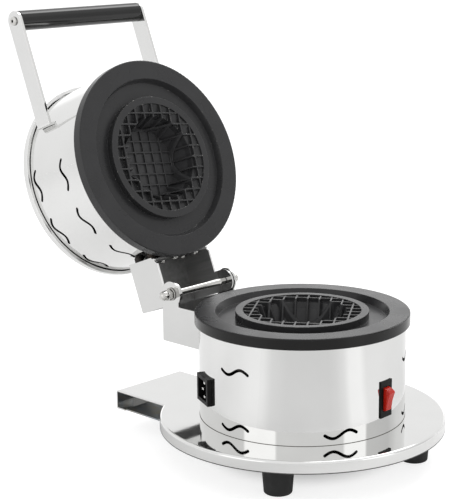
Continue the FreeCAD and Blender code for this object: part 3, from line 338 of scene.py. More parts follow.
def nickel_plated_steel(name, colours):
    """Turned steel with a bright nickel plate."""
    # A crisp mirror, darker than the sheet, with painted shade that outlines heads, sockets and grooves.
    material, tree, shader = new_material(name, {"Metallic": 1.0})
    spot = add_node(tree, "ShaderNodeTexCoord").outputs["Object"]
    cloud = add_node(tree, "ShaderNodeTexNoise", {"Scale": per_mm(5), "Detail": 4.0}, {"Vector": spot})
    plate = add_node(tree, "ShaderNodeMix", {"data_type": "RGBA", 6: linear(colours.nickel),
                                             7: linear(colours.nickel_dull)}, {0: cloud.outputs["Fac"]})
    # An occlusion test paints shade into heads, sockets and grooves.
    open_air = add_node(tree, "ShaderNodeAmbientOcclusion", {"samples": 8, "Distance": 2.4 * MM})
    unshaded = add_node(tree, "ShaderNodeMapRange", {"From Min": 0.45, "From Max": 0.9},
                     {"Value": open_air.outputs["AO"]})
    tint = add_node(tree, "ShaderNodeMix", {"data_type": "RGBA", 6: linear(colours.contact_shade)},
                    {0: unshaded.outputs["Result"], 7: plate.outputs[2]})
    rough = add_node(tree, "ShaderNodeMapRange", {"From Min": 0.3, "From Max": 0.7, "To Min": 0.06,
                                                  "To Max": 0.14}, {"Value": cloud.outputs["Fac"]})
    marks = add_node(tree, "ShaderNodeTexNoise", {"Scale": per_mm(0.9), "Detail": 2.0}, {"Vector": spot})
    grain = add_node(tree, "ShaderNodeBump", {"Strength": 0.08, "Distance": 0.05 * MM},
                     {"Height": marks.outputs["Fac"]})
    feed(tree, shader, {"Base Color": tint.outputs[2], "Roughness": rough.outputs["Result"],
                        "Normal": grain.outputs["Normal"]})
    return material


def zinc_plated_steel(name, colours):
    """Mild steel with a passivated zinc plate."""
    # Satin grey with blue and straw patches, about a fingertip across.
    material, tree, shader = new_material(name, {"Metallic": 1.0})
    spot = add_node(tree, "ShaderNodeTexCoord").outputs["Object"]
    patch = add_node(tree, "ShaderNodeTexNoise", {"Scale": per_mm(14), "Detail": 5.0}, {"Vector": spot})
    tint = add_node(tree, "ShaderNodeValToRGB", links={"Fac": patch.outputs["Fac"]},
                    stops=[(0.3, linear(colours.zinc_blue)), (0.5, linear(colours.zinc)),
                           (0.72, linear(colours.zinc_straw))])
    rough = add_node(tree, "ShaderNodeMapRange", {"To Min": 0.26, "To Max": 0.46},
                     {"Value": patch.outputs["Fac"]})
    fine = add_node(tree, "ShaderNodeTexNoise", {"Scale": per_mm(0.7), "Detail": 2.0}, {"Vector": spot})
    grain = add_node(tree, "ShaderNodeBump", {"Strength": 0.2, "Distance": 0.05 * MM},
                     {"Height": fine.outputs["Fac"]})
    feed(tree, shader, {"Base Color": tint.outputs["Color"], "Roughness": rough.outputs["Result"],
                        "Normal": grain.outputs["Normal"]})
    return material


def ptfe_coated_casting(name, colours):
    """Sand-cast aluminium, sprayed with black PTFE and baked."""
    # Satin black with the spray's orange peel, a slightly cloudy sheen and bare metal chips on corners.
    material, tree, shader = new_material(name, {"IOR": 1.45, "Specular IOR Level": 0.35})
    spot = add_node(tree, "ShaderNodeTexCoord").outputs["Object"]
    cloud = add_node(tree, "ShaderNodeTexNoise", {"Scale": per_mm(30), "Detail": 5.0}, {"Vector": spot})
    coat = add_node(tree, "ShaderNodeMix", {"data_type": "RGBA", 6: linear(colours.coat),
                                            7: linear(colours.coat_worn)}, {0: cloud.outputs["Fac"]})
    corner = add_node(tree, "ShaderNodeBevel", {"samples": 6, "Radius": 0.7 * MM})
    true = add_node(tree, "ShaderNodeNewGeometry")
    bend = add_node(tree, "ShaderNodeVectorMath", {"operation": "DOT_PRODUCT"},
                    {0: corner.outputs["Normal"], 1: true.outputs["True Normal"]})
    edge = add_node(tree, "ShaderNodeMapRange", {"From Min": 0.97, "From Max": 0.8, "To Min": 0.0,
                                                 "To Max": 0.5}, {"Value": bend.outputs["Value"]})
    bits = add_node(tree, "ShaderNodeTexNoise", {"Scale": per_mm(3), "Detail": 3.0}, {"Vector": spot})
    both = add_node(tree, "ShaderNodeMath", {"operation": "ADD"},
                    {0: edge.outputs["Result"], 1: bits.outputs["Fac"]})
    chip = add_node(tree, "ShaderNodeMapRange", {"From Min": 1.08, "From Max": 1.13},
                    {"Value": both.outputs["Value"]})
    tint = add_node(tree, "ShaderNodeMix", {"data_type": "RGBA", 7: linear(colours.bare_casting)},
                    {0: chip.outputs["Result"], 6: coat.outputs[2]})
    rough = add_node(tree, "ShaderNodeMapRange", {"From Min": 0.3, "From Max": 0.7, "To Min": 0.24,
                                                  "To Max": 0.32}, {"Value": cloud.outputs["Fac"]})
    # The real peel is a few tenths of a millimetre, drawn a little coarser so that it shows.
    peel = add_node(tree, "ShaderNodeTexNoise", {"Scale": per_mm(1.1), "Detail": 2.0}, {"Vector": spot})
    grain = add_node(tree, "ShaderNodeBump", {"Strength": 0.35, "Distance": 0.08 * MM},
                     {"Height": peel.outputs["Fac"], "Normal": corner.outputs["Normal"]})
    feed(tree, shader, {"Base Color": tint.outputs[2], "Metallic": chip.outputs["Result"],
                        "Roughness": rough.outputs["Result"], "Normal": grain.outputs["Normal"]})
    return material


def moulded_plastic(name, dark, light, roughness, grain_mm, depth, settings):
    """A moulded part: a near-even colour, a cloudy gloss and the grain its mould tool left."""
    material, tree, shader = new_material(name, settings)
    spot = add_node(tree, "ShaderNodeTexCoord").outputs["Object"]
    flow = add_node(tree, "ShaderNodeTexNoise", {"Scale": per_mm(12), "Detail": 4.0, "Distortion": 0.6},
                    {"Vector": spot})
    tint = add_node(tree, "ShaderNodeMix", {"data_type": "RGBA", 6: linear(dark), 7: linear(light)},
                    {0: flow.outputs["Fac"]})
    rough = add_node(tree, "ShaderNodeMapRange", {"From Min": 0.3, "From Max": 0.7,
                                                  "To Min": roughness * 0.85, "To Max": roughness * 1.2},
                     {"Value": flow.outputs["Fac"]})
    tool = add_node(tree, "ShaderNodeTexNoise", {"Scale": per_mm(grain_mm), "Detail": 2.0},
                    {"Vector": spot})
    grain = add_node(tree, "ShaderNodeBump", {"Strength": depth, "Distance": 0.08 * MM},
                     {"Height": tool.outputs["Fac"]})
    feed(tree, shader, {"Base Color": tint.outputs[2], "Roughness": rough.outputs["Result"],
                        "Normal": grain.outputs["Normal"]})
    return material


def moulded_phenolic(name, colours):
    """Compression-moulded phenolic, polished after moulding."""
    # Deep gloss black, with the wide soft ripple of hand buffing.
    return moulded_plastic(name, colours.grip, colours.grip_light, 0.07, 9, 0.04,
                           {"IOR": 1.6, "Specular IOR Level": 0.35})


def moulded_rubber(name, colours):
    """Natural rubber with carbon black, pressed in a blasted mould."""
    # Dull charcoal with a fine even grain and greyish bloom.
    return moulded_plastic(name, colours.rubber, colours.rubber_bloom, 0.72, 0.8, 0.5, {"IOR": 1.52})


def gunned_sealant(name, colours):
    """Heat-proof silicone, laid from a gun and wiped smooth."""
    # A dull dark line with dusty stretches.
    return moulded_plastic(name, colours.bead, colours.bead_dust, 0.6, 2, 0.3, {"IOR": 1.41})


def moulded_nylon(name, colours):
    """Glass-filled nylon from a spark-eroded mould."""
    # Satin black with a sand-like grain.
    return moulded_plastic(name, colours.nylon, colours.nylon_light, 0.42, 0.7, 0.3,
                           {"IOR": 1.53, "Specular IOR Level": 0.13})


def moulded_polycarbonate(name, colours):
    """Red polycarbonate, moulded clear enough for a lamp to shine through."""
    # Glossy red that glows a little at its thin ends.
    return moulded_plastic(name, colours.rocker, colours.rocker_light, 0.16, 4, 0.04,
                           {"IOR": 1.58, "Specular IOR Level": 0.28, "Subsurface Weight": 0.25,
                            "Subsurface Radius": (1.0, 0.15, 0.1), "Subsurface Scale": 1.5 * MM})


def fired_steatite(name, colours):
    """Pressed and fired steatite, left unglazed."""
    # Matt cream with fine specks.
    return moulded_plastic(name, colours.ceramic, colours.ceramic_speck, 0.62, 0.6, 0.4, {"IOR": 1.6})


def moulded_polyamide(name, colours):
    """Uncoloured polyamide, as used for terminal blocks."""
    # Waxy cream with a low sheen.
    return moulded_plastic(name, colours.block, colours.block_shade, 0.4, 1.0, 0.2, {"IOR": 1.53})


def heat_scaled_steel(name, colours):
    """Drawn steel, blued and scaled by heat."""
    # Dark grey with brown and blue heat bands and a dry, dull surface.
    material, tree, shader = new_material(name, {"Metallic": 0.85})
    spot = add_node(tree, "ShaderNodeTexCoord").outputs["Object"]
    heat = add_node(tree, "ShaderNodeTexNoise", {"Scale": per_mm(22), "Detail": 4.0}, {"Vector": spot})
    tint = add_node(tree, "ShaderNodeValToRGB", links={"Fac": heat.outputs["Fac"]},
                    stops=[(0.3, linear(colours.scale_blue)), (0.5, linear(colours.scale)),
                           (0.7, linear(colours.scale_brown))])
    rough = add_node(tree, "ShaderNodeMapRange", {"To Min": 0.4, "To Max": 0.65},
                     {"Value": heat.outputs["Fac"]})
    feed(tree, shader, {"Base Color": tint.outputs["Color"], "Roughness": rough.outputs["Result"]})
    return material


FINISHES = {
    "mirror_buffed_stainless": polished_stainless,
    "folded_stainless_lower": lower_channel,
    "folded_stainless_upper": upper_channel,
    "rolled_stainless_lower": lower_drum,
    "rolled_stainless_upper": upper_drum,
    "pressed_stainless_deck": pressed_deck,
    "spun_stainless_cover": spun_cover,
    "nickel_plated_steel": nickel_plated_steel,
    "zinc_plated_steel": zinc_plated_steel,
    "ptfe_coated_casting_lower": base_casting,
    "ptfe_coated_casting_upper": lid_casting,
    "moulded_phenolic": moulded_phenolic,
    "moulded_rubber": moulded_rubber,
    "gunned_sealant": gunned_sealant,
    "moulded_nylon": moulded_nylon,
    "moulded_red_polycarbonate": moulded_polycarbonate,
    "fired_steatite": fired_steatite,
    "moulded_polyamide": moulded_polyamide,
    "heat_scaled_steel": heat_scaled_steel,
}


def finish(name):
    """The named finish, made the first time that it is asked for."""
    return bpy.data.materials.get(name) or FINISHES[name](name, bpy.context.scene.press_colours)


def dress(material_name, *nodes):
    """Give CAD nodes that keep their shape a finish."""
    for node in nodes:
        materials = frame["nodes"][node].data.materials
        materials.clear()
        materials.append(finish(material_name))


def add_piece(name, mesh, material_name, node, replaces=True):
    """Put a finished mesh in the scene, riding with a node's body, and in its place if asked."""
    piece = bpy.data.objects.new(name, mesh)
    bpy.context.scene.collection.objects.link(piece)
    mesh.materials.clear()
    mesh.materials.append(finish(material_name))
    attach(piece, BODIES[node])
    if replaces:
        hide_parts(node)
    return piece


def softened(node, material_name, width, least_angle=35.0):
    """A finer twin of a CAD node, with its sharp edges rounded over by this width."""
    work = bmesh.new()
    work.from_mesh(frame["nodes"][node].data)
    bmesh.ops.remove_doubles(work, verts=work.verts, dist=SAME_POINT)
    bmesh.ops.dissolve_limit(work, angle_limit=SAME_PLANE, verts=work.verts, edges=work.edges)
    sharp = [
        edge for edge in work.edges
        if edge.is_manifold and edge.calc_face_angle() > math.radians(least_angle)
    ]
    if not sharp:
        raise RuntimeError(f"{node} has no sharp edges to round over")
    bmesh.ops.bevel(work, geom=sharp, offset=width, segments=2, profile=0.5, affect="EDGES",
                    clamp_overlap=True)
    for face in work.faces:
        face.smooth = True
    mesh = bpy.data.meshes.new(node + "_fine")
    work.to_mesh(mesh)
    work.free()
    piece = add_piece(node + "_fine", mesh, material_name, node)
    normals = piece.modifiers.new("even_faces", "WEIGHTED_NORMAL")
    normals.keep_sharp = False
    normals.weight = 100
    return piece


def loose_boxes(node):
    """Low and high corner of each loose solid of a CAD node, with the lid's turned back to shut."""
    turn = SHUT_TO_OPEN.inverted() if BODIES[node] == "lid" else Matrix()
    work = bmesh.new()
    work.from_mesh(frame["nodes"][node].data)
    bmesh.ops.remove_doubles(work, verts=work.verts, dist=SAME_POINT)
    boxes = []
    left = set(work.verts)
    while left:
        solid = [left.pop()]
        for vert in solid:
            for edge in vert.link_edges:
                other = edge.other_vert(vert)
                if other in left:
                    left.remove(other)
                    solid.append(other)
        corners = list(zip(*(turn @ vert.co for vert in solid)))
        boxes.append((Vector(map(min, corners)), Vector(map(max, corners))))
    work.free()
    return sorted(boxes, key=lambda box: [round(value / MM) for value in box[0]])


def circle(radius, along, count=48):
    """A ring of points around Z, sizes in millimetres."""
    turns = [math.tau * index / count for index in range(count)]
    return [(radius * math.cos(turn), radius * math.sin(turn), along) for turn in turns]


def hexagon(flat, along, chamfer=0.0, count=48):
    """A six-sided ring around Z, whose corners dip by the chamfer where they pass its circle."""
    points = []
    for index in range(count):
        turn = math.tau * index / count
        radius = flat / math.cos((turn + math.pi / 6) % (math.pi / 3) - math.pi / 6)
        height = along + chamfer * (radius - flat)
        points.append((radius * math.cos(turn), radius * math.sin(turn), height))
    return points


def join_rings(work, rings, place, loop=False):
    """Add rings of points in millimetres, each joined to the next, with ends closed or joined up."""
    loops = [[work.verts.new(place @ (Vector(point) * MM)) for point in ring] for ring in rings]
    count = len(rings[0])
    for low, high in zip(loops, loops[1:] + loops[:1] if loop else loops[1:]):
        for index in range(count):
            after = (index + 1) % count
            work.faces.new((low[index], low[after], high[after], high[index]))
    if not loop:
        work.faces.new(reversed(loops[0]))
        work.faces.new(loops[-1])


def ring_piece(name, material_name, node, pieces, replaces=True, loop=False):
    """One piece from any number of ring stacks, each with its place, in or beside a node."""
    work = bmesh.new()
    for rings, place in pieces:
        join_rings(work, rings, place, loop)
    bmesh.ops.recalc_face_normals(work, faces=work.faces)
    mesh = bpy.data.meshes.new(name)
    work.to_mesh(mesh)
    work.free()
    mesh.polygons.foreach_set("use_smooth", [True] * len(mesh.polygons))
    mesh.set_sharp_from_angle(angle=CREASE)
    return add_piece(name, mesh, material_name, node, replaces)


def facing(point, axis, lid):
    """Matrix that stands a piece drawn around Z at a point, with its Z along an axis."""
    stand = Matrix.Translation(point) @ Vector(axis).to_track_quat("Z", "Y").to_matrix().to_4x4()
    return SHUT_TO_OPEN @ stand if lid else stand


def button_screw(radius, height, length):
    """Rings of a button-head screw with a six-sided socket, head up from 0 and shank below."""
    shank, socket = radius * 0.52, radius * 0.31
    point, edge, dome_steps = 0.4, 0.1, 5
    rings = [circle(shank * 0.8, -length), circle(shank, point - length), circle(shank, 0.0),
             circle(radius * 0.95, 0.0), circle(radius, height * edge)]
    for step in range(1, dome_steps + 1):
        share = step / dome_steps
        rise = edge + (1 - edge) * math.sin(share * math.pi / 2)
        rings.append(circle(radius * (1 - 0.42 * share ** 2), height * rise))
    rings += [circle(radius * 0.5, height), hexagon(socket * 1.08, height),
              hexagon(socket, height * 0.93), hexagon(socket, height * 0.2),
              circle(socket * 0.2, height * 0.08)]
    return rings


def acorn_nut(flat, hex_height, radius, straight):
    """Rings of a domed nut: chamfered hexagon, a turned neck and the dome."""
    slope, dip = 0.577, 0.12
    face, neck = flat * 0.96, radius * 0.9
    centre = hex_height + straight
    rings = [circle(face, 0.0), hexagon(flat, dip, slope), hexagon(flat, hex_height - dip, -slope),
             circle(face, hex_height), circle(neck, hex_height), circle(neck, hex_height + 0.45),
             circle(radius, hex_height + 0.8), circle(radius, centre)]
    for degrees in (12, 24, 36, 48, 60, 72, 82):
        bend = math.radians(degrees)
        rings.append(circle(radius * math.cos(bend), centre + radius * math.sin(bend)))
    rings.append(circle(0.25, centre + radius))
    return rings


def add_screws(node, material_name, axis, height):
    """Finer twins of a node's screws, with heads this high that face an axis, or sideways if it is 0."""
    lid = BODIES[node] == "lid"
    pieces = []
    for low, high in loose_boxes(node):
        out = Vector(axis) if sum(axis) else Vector((math.copysign(1, low.x + high.x), 0, 0))
        middle, half = (low + high) / 2, (high - low) / 2
        reach = abs(out.dot(half)) / MM
        radius = min(half) / MM
        under = middle + out * (reach - height) * MM
        pieces.append((button_screw(radius, height, 2 * reach - height), facing(under, out, lid)))
    return ring_piece(node + "_fine", material_name, node, pieces)


def colour(name, default, description):
    """A colour that a user may change."""
    return StringProperty(name=name, description=description + ", as an sRGB hex value", default=default)


class PressSizes(PropertyGroup):
    """Sizes of the fine pieces"""
    sheet_edge: FloatProperty(name="Sheet edge", description="Rounding of cut sheet edges",
                              default=0.25 * MM, unit="LENGTH")
    plastic_edge: FloatProperty(name="Plastic edge", description="Rounding of moulded plastic edges",
                                default=0.4 * MM, unit="LENGTH")
    cover_slit: FloatProperty(name="Cover slit", description="Gap between the drum and the cover's hem",
                              default=0.7 * MM, unit="LENGTH")
    bead: FloatProperty(name="Sealing bead", description="Width of the bead at the foot of the drum",
                        default=0.5 * MM, unit="LENGTH")
    grip_head: FloatProperty(name="Grip screw head", description="Height of the grip's screw heads",
                             default=2.6 * MM, unit="LENGTH")
    bracket_head: FloatProperty(name="Bracket screw head",
                                description="Height of the brackets' screw heads",
                                default=2.4 * MM, unit="LENGTH")
    tie_head: FloatProperty(name="Tie screw head", description="Height of the long tie screws' heads",
                            default=2.8 * MM, unit="LENGTH")
    dome_hex: FloatProperty(name="Domed nut hexagon", description="Height of the domed nuts' hexagon",
                            default=5.0 * MM, unit="LENGTH")
    dome_radius: FloatProperty(name="Domed nut radius", description="Radius of the domed nuts' dome",
                               default=4.7 * MM, unit="LENGTH")


class PressColours(PropertyGroup):
    """Colours of the finishes"""
    steel: colour("Steel", "#e5e5e4", "Polished sheet")
    steel_smudge: colour("Steel smudge", "#dededd", "Polished sheet where it is smudged")
    folded: colour("Folded steel", "#d7d7d6", "Sheet of the hinge brackets")
    folded_smudge: colour("Folded steel smudge", "#cdcdcc", "That sheet where it is smudged")
    # This colour is a painted highlight along the cover's hem and the cut edges of the lid's bracket.
    hem: colour("Hem", "#f8f8f7", "Turned-in edge of the cover and cut edges of the lid's bracket")
    # The next two colours are painted shade inside the brackets, and the first is also in the line along
    # the deck's edge.
    painted_tone: colour("Baked film", "#616161", "Film inside the brackets")
    painted_tone_streak: colour("Film streak", "#8b8b8a", "Lighter runs in that film")
    # The next two colours are painted shade inside the drums, under the base's channel and on the lower
    # mould's side.
    shade_black: colour("Soot", "#0a0a09", "Inside of the drums, and the lower mould's side")
    shade_black_streak: colour("Soot streak", "#131211", "Lighter runs in the soot")
    # This colour is painted shade in the corners of the hardware and a painted shadow along the deck's
    # edge.
    contact_shade: colour("Grime", "#1d1b19", "Dirt in the corners of the hardware and along the deck's edge")
    bead: colour("Bead", "#5c5a57", "Sealing bead at the foot of the drum")
    bead_dust: colour("Bead dust", "#787570", "Dusty parts of that bead")
    nickel: colour("Nickel", "#dcdbd8", "Plated hardware")
    nickel_dull: colour("Dull nickel", "#c0bfbc", "Plated hardware where it is handled")
    zinc: colour("Zinc", "#a7a9aa", "Zinc plate")
    zinc_blue: colour("Blue zinc", "#9aa1a9", "Bluish patches of the zinc plate")
    zinc_straw: colour("Straw zinc", "#b0aa98", "Yellowish patches of the zinc plate")
    coat: colour("Coat", "#2c2c2d", "Black coat of the moulds")
    coat_worn: colour("Worn coat", "#363637", "Greyer clouds in that coat")
    # The next two colours are a painted lift of light in the ribbed bowls, paler than the coat.
    bowl: colour("Bowl", "#383839", "Coat in the ribbed bowls")
    bowl_light: colour("Scoured bowl", "#464647", "Coat where the bowls are scoured most")
    bare_casting: colour("Bare casting", "#9c9a96", "Metal under chips in the coat")
    grip: colour("Grip", "#0d0d0d", "Handle grip")
    grip_light: colour("Grip flow", "#131313", "Lighter flow marks in the grip")
    rubber: colour("Rubber", "#181818", "Feet")
    rubber_bloom: colour("Rubber bloom", "#252525", "Grey bloom on the feet")
    nylon: colour("Nylon", "#0b0b0b", "Inlet and switch housing")
    nylon_light: colour("Nylon flow", "#121211", "Lighter flow marks in the nylon")
    rocker: colour("Rocker", "#b5170c", "Switch rocker")
    rocker_light: colour("Rocker glow", "#cc2c1c", "Lighter parts of the rocker")
    ceramic: colour("Steatite", "#ded4c2", "Thermostat body")
    ceramic_speck: colour("Steatite speck", "#cdbfa6", "Specks in the steatite")
    block: colour("Block", "#d8ccab", "Terminal block")
    block_shade: colour("Block shade", "#c9bb97", "Darker parts of the terminal block")
    scale: colour("Scale", "#3a3735", "Oxide on the heaters and their shields")
    scale_blue: colour("Blue scale", "#313439", "Bluish bands of that oxide")
    scale_brown: colour("Brown scale", "#3a332e", "Brownish bands of that oxide")
    floor: colour("Floor", "#b2b2b2", "Studio floor")


class PressStage(PropertyGroup):
    """Light and camera of the studio"""
    sky_level: FloatProperty(name="Sky level", description="Strength of the surround on dull surfaces",
                             default=0.8, min=0.0, max=2.0)
    key_power: FloatProperty(name="Key power", description="Power of the large lamp at the upper right",
                             default=11.0, unit="POWER")
    key_size: FloatVectorProperty(name="Key size", description="Width and height of the large lamp",
                                  default=(1.0, 0.8), size=2, unit="LENGTH")
    key_place: FloatVectorProperty(name="Key place", description="Where the large lamp hangs",
                                   default=(1.15, 0.2, 1.25), subtype="TRANSLATION", unit="LENGTH")
    key_aim: FloatVectorProperty(name="Key aim", description="Point that the large lamp faces",
                                 default=(0.0, 0.05, 0.18), subtype="TRANSLATION", unit="LENGTH")
    camera_lens: FloatProperty(name="Camera lens", description="Focal length of the camera",
                               default=108.70, unit="CAMERA")
    camera_place: FloatVectorProperty(name="Camera place", description="Where the camera stands",
                                      default=(-1.0133804, -0.8941934, 0.502143),
                                      subtype="TRANSLATION", unit="LENGTH")
    camera_turn: FloatVectorProperty(name="Camera turn",
                                     description="Pitch, roll and heading of the camera",
                                     default=[math.radians(turn) for turn in (77.2288, -0.573, -45.8653)],
                                     subtype="EULER", unit="ROTATION")


class PRESS_OT_sheet_metal(Operator):
    """Polish the drums, deck and cover, and round the edges of the brackets and arms"""
    bl_idname = "press.sheet_metal"
    bl_label = "Sheet Metal"

    def execute(self, context):
        sizes = context.scene.press_sizes
        dress("pressed_stainless_deck", "base_plate")
        dress("rolled_stainless_lower", "lower_shell")
        dress("rolled_stainless_upper", "upper_shell")
        for node, material in (("lower_bracket", "folded_stainless_lower"),
                               ("upper_bracket", "folded_stainless_upper"),
                               ("handle_arm_left", "mirror_buffed_stainless"),
                               ("handle_arm_right", "mirror_buffed_stainless"),
                               ("rear_brace", "zinc_plated_steel")):
            softened(node, material, sizes.sheet_edge)
        self.roll_cover(sizes)
        self.lay_bead(sizes)
        return {"FINISHED"}

    def lay_bead(self, sizes):
        """The thin sealing bead around the foot of the lower drum, reaching a little into its wall."""
        low, high = (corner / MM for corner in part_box("lower_shell"))
        bead = sizes.bead / MM
        inner, outer = high.x - 0.3, high.x + bead / 2
        profile = ((inner, 0.0), (outer, 0.0), (outer, bead * 0.6), (inner, bead))
        rings = [circle(radius, low.z + up, count=180) for radius, up in profile]
        ring_piece("drum_bead", "gunned_sealant", "feet", [(rings, Matrix())], replaces=False, loop=True)

    def roll_cover(self, sizes):
        """The cover with its lip hemmed inward, so that only a fine dark gap shows along the drum."""
        low, high = (corner / MM for corner in loose_boxes("upper_cover")[0])
        wall = loose_boxes("upper_shell")[0][1].x / MM
        radius, hem = high.x, wall + sizes.cover_slit / MM
        bend, sheet, lip, turn_in, corner, hub = 1.5, 1.0, 1.2, 0.3, 0.4, 0.05
        profile = [(hem, low.z + lip), (hem, low.z + turn_in), (hem + turn_in, low.z),
                   (radius - corner, low.z), (radius, low.z + corner), (radius, high.z - bend)]
        for degrees in (22.5, 45, 67.5, 90):
            turn = math.radians(degrees)
            profile.append((radius - bend * (1 - math.cos(turn)), high.z - bend * (1 - math.sin(turn))))
        profile += [(radius * 0.5, high.z), (hub, high.z), (hub, high.z - sheet),
                    (radius - sheet, high.z - sheet), (radius - sheet, low.z + lip)]
        rings = [circle(reach, up, count=256) for reach, up in profile]
        ring_piece("upper_cover_fine", "spun_stainless_cover", "upper_cover", [(rings, SHUT_TO_OPEN)],
                   loop=True)


class PRESS_OT_moulds(Operator):
    """Coat the two cast moulds"""
    bl_idname = "press.moulds"
    bl_label = "Moulds"

    def execute(self, context):
        dress("ptfe_coated_casting_lower", "lower_mould")
        dress("ptfe_coated_casting_upper", "upper_mould")
        return {"FINISHED"}


class PRESS_OT_fixings(Operator):
    """Make the hinge's domed nuts and the socket screws, and plate the other fixings"""
    bl_idname = "press.fixings"
    bl_label = "Fixings"

    def execute(self, context):
        sizes = context.scene.press_sizes
        dress("nickel_plated_steel", "hinge_pin")
        softened("hinge_washers", "nickel_plated_steel", sizes.sheet_edge)
        for node, material, axis, head in (
                ("grip_screws", "nickel_plated_steel", (0, 0, 0), sizes.grip_head),
                ("lower_bracket_screws", "nickel_plated_steel", (0, 1, 0), sizes.bracket_head),
                ("upper_bracket_screws", "nickel_plated_steel", (0, 1, 0), sizes.bracket_head),
                ("upper_tie_screws", "nickel_plated_steel", (0, 0, 1), sizes.tie_head),
                ("lower_tie_screws", "zinc_plated_steel", (0, 0, -1), sizes.tie_head)):
            add_screws(node, material, axis, head / MM)
        self.add_domed_nuts(sizes)
        dress("zinc_plated_steel", "foot_screws", "weld_nuts", "rear_foot_screw", "rear_foot_nut",
              "terminal_screws", "lower_spacers", "upper_spacers",
              "lower_bracket_nuts", "upper_bracket_nuts")
        # The bracket spacers wear the dark scale as painted shade in the gap between the brackets and the
        # drums.
        dress("heat_scaled_steel", "lower_bracket_spacers", "upper_bracket_spacers")
        return {"FINISHED"}

    def add_domed_nuts(self, sizes):
        """The two domed nuts on the ends of the hinge pin."""
        nuts = []
        for low, high in loose_boxes("hinge_nuts"):
            out = math.copysign(1, low.x + high.x)
            seat = Vector((low.x if out > 0 else high.x, PIN.y, PIN.z))
            flat, length = (high.y - low.y) / 2 / MM, (high.x - low.x) / MM
            hex_height, radius = sizes.dome_hex / MM, sizes.dome_radius / MM
            straight = length - hex_height - radius
            if straight < 0:
                raise RuntimeError("the domed nuts are too short for their hexagon and dome")
            nuts.append((acorn_nut(flat, hex_height, radius, straight), facing(seat, (out, 0, 0), False)))
        ring_piece("hinge_nuts_fine", "nickel_plated_steel", "hinge_nuts", nuts)


class PRESS_OT_handle_and_feet(Operator):
    """Finish the grip and the feet"""
    bl_idname = "press.handle_and_feet"
    bl_label = "Handle and Feet"

    def execute(self, context):
        dress("moulded_phenolic", "handle_grip")
        dress("moulded_rubber", "feet", "rear_foot")
        return {"FINISHED"}


class PRESS_OT_electrics(Operator):
    """Make the power inlet and the rocker switch, with softened moulded edges"""
    bl_idname = "press.electrics"
    bl_label = "Electrics"

    def execute(self, context):
        edge = context.scene.press_sizes.plastic_edge
        softened("power_inlet", "moulded_nylon", edge)
        softened("switch_housing", "moulded_nylon", edge * 0.6)
        softened("switch_rocker", "moulded_red_polycarbonate", edge)
        dress("nickel_plated_steel", "inlet_pins")
        return {"FINISHED"}


class PRESS_OT_insides(Operator):
    """Finish the heaters, shields, thermostat and terminal block inside the drums"""
    bl_idname = "press.insides"
    bl_label = "Insides"

    def execute(self, context):
        dress("heat_scaled_steel", "lower_heater", "upper_heater",
              "lower_heat_shield", "upper_heat_shield")
        dress("fired_steatite", "thermostat")
        dress("moulded_polyamide", "terminal_block")
        return {"FINISHED"}


# Heading of the camera's own side, and grey levels around the press by degrees to the right of it: cards
# on the floor, panels in the surround, its brighter foot behind the press, and a strip of lamps high up.
CAMERA_SIDE = -138.6
CARD_SECTORS = [(-128, 0.83), (-111, 0.87), (-97, 0.95), (-88, 0.97), (-63, 0.95), (-52, 0.98),
                (-38, 0.95), (-29, 0.79), (-15, 0.73), (26, 0.71), (33, 0.74), (41, 0.83), (47, 0.98),
                (59, 0.98), (66, 0.83), (80, 0.82), (130, 0.70), (165, 0.78)]
PANEL_SECTORS = [(-115, 1.0), (-80, 0.95), (-68, 0.96), (-66, 1.52), (-30, 1.52), (-28, 1.0), (46, 1.0),
                 (48, 1.5), (74, 1.5), (76, 0.84), (110, 0.78), (130, 1.0)]
SWEEP_SECTORS = [(-150, 1.0), (-162, 1.45), (162, 1.45), (150, 1.0)]
STRIP_SECTORS = [(126, 1.0), (134, 4.4), (150, 4.8), (162, 2.4), (176, 1.0)]
# Upward parts of a direction between which the bright foot begins, the panels end and the strip begins.
SWEEP_RISE = (0.287, 0.275)
PANEL_RISE = (0.35, 0.6)
STRIP_RISE = (0.64, 0.7)
# Metres from the press between which the cards begin and end, and the floor's levels within and beyond.
CARD_START = (0.205, 0.26)
CARD_END = (0.5, 1.3)
NEAR_LEVEL = 0.84
FAR_LEVEL = 0.99
# Glow of the floor: for other surfaces, and for the camera between two distances from the press's axis,
# which paints a shadow under the press.
FLOOR_GLOW = 0.15
SHADOW_REACH = (0.055, 0.1)
CAMERA_GLOW = (0.85, 1.72)
FLOOR_HALF = 6.0


def sector_stops(sectors):
    """Ramp stops for grey levels by heading, from -X right round to -X again."""
    return sorted(((CAMERA_SIDE + offset + 180) % 360 / 360, grey(level)) for offset, level in sectors)


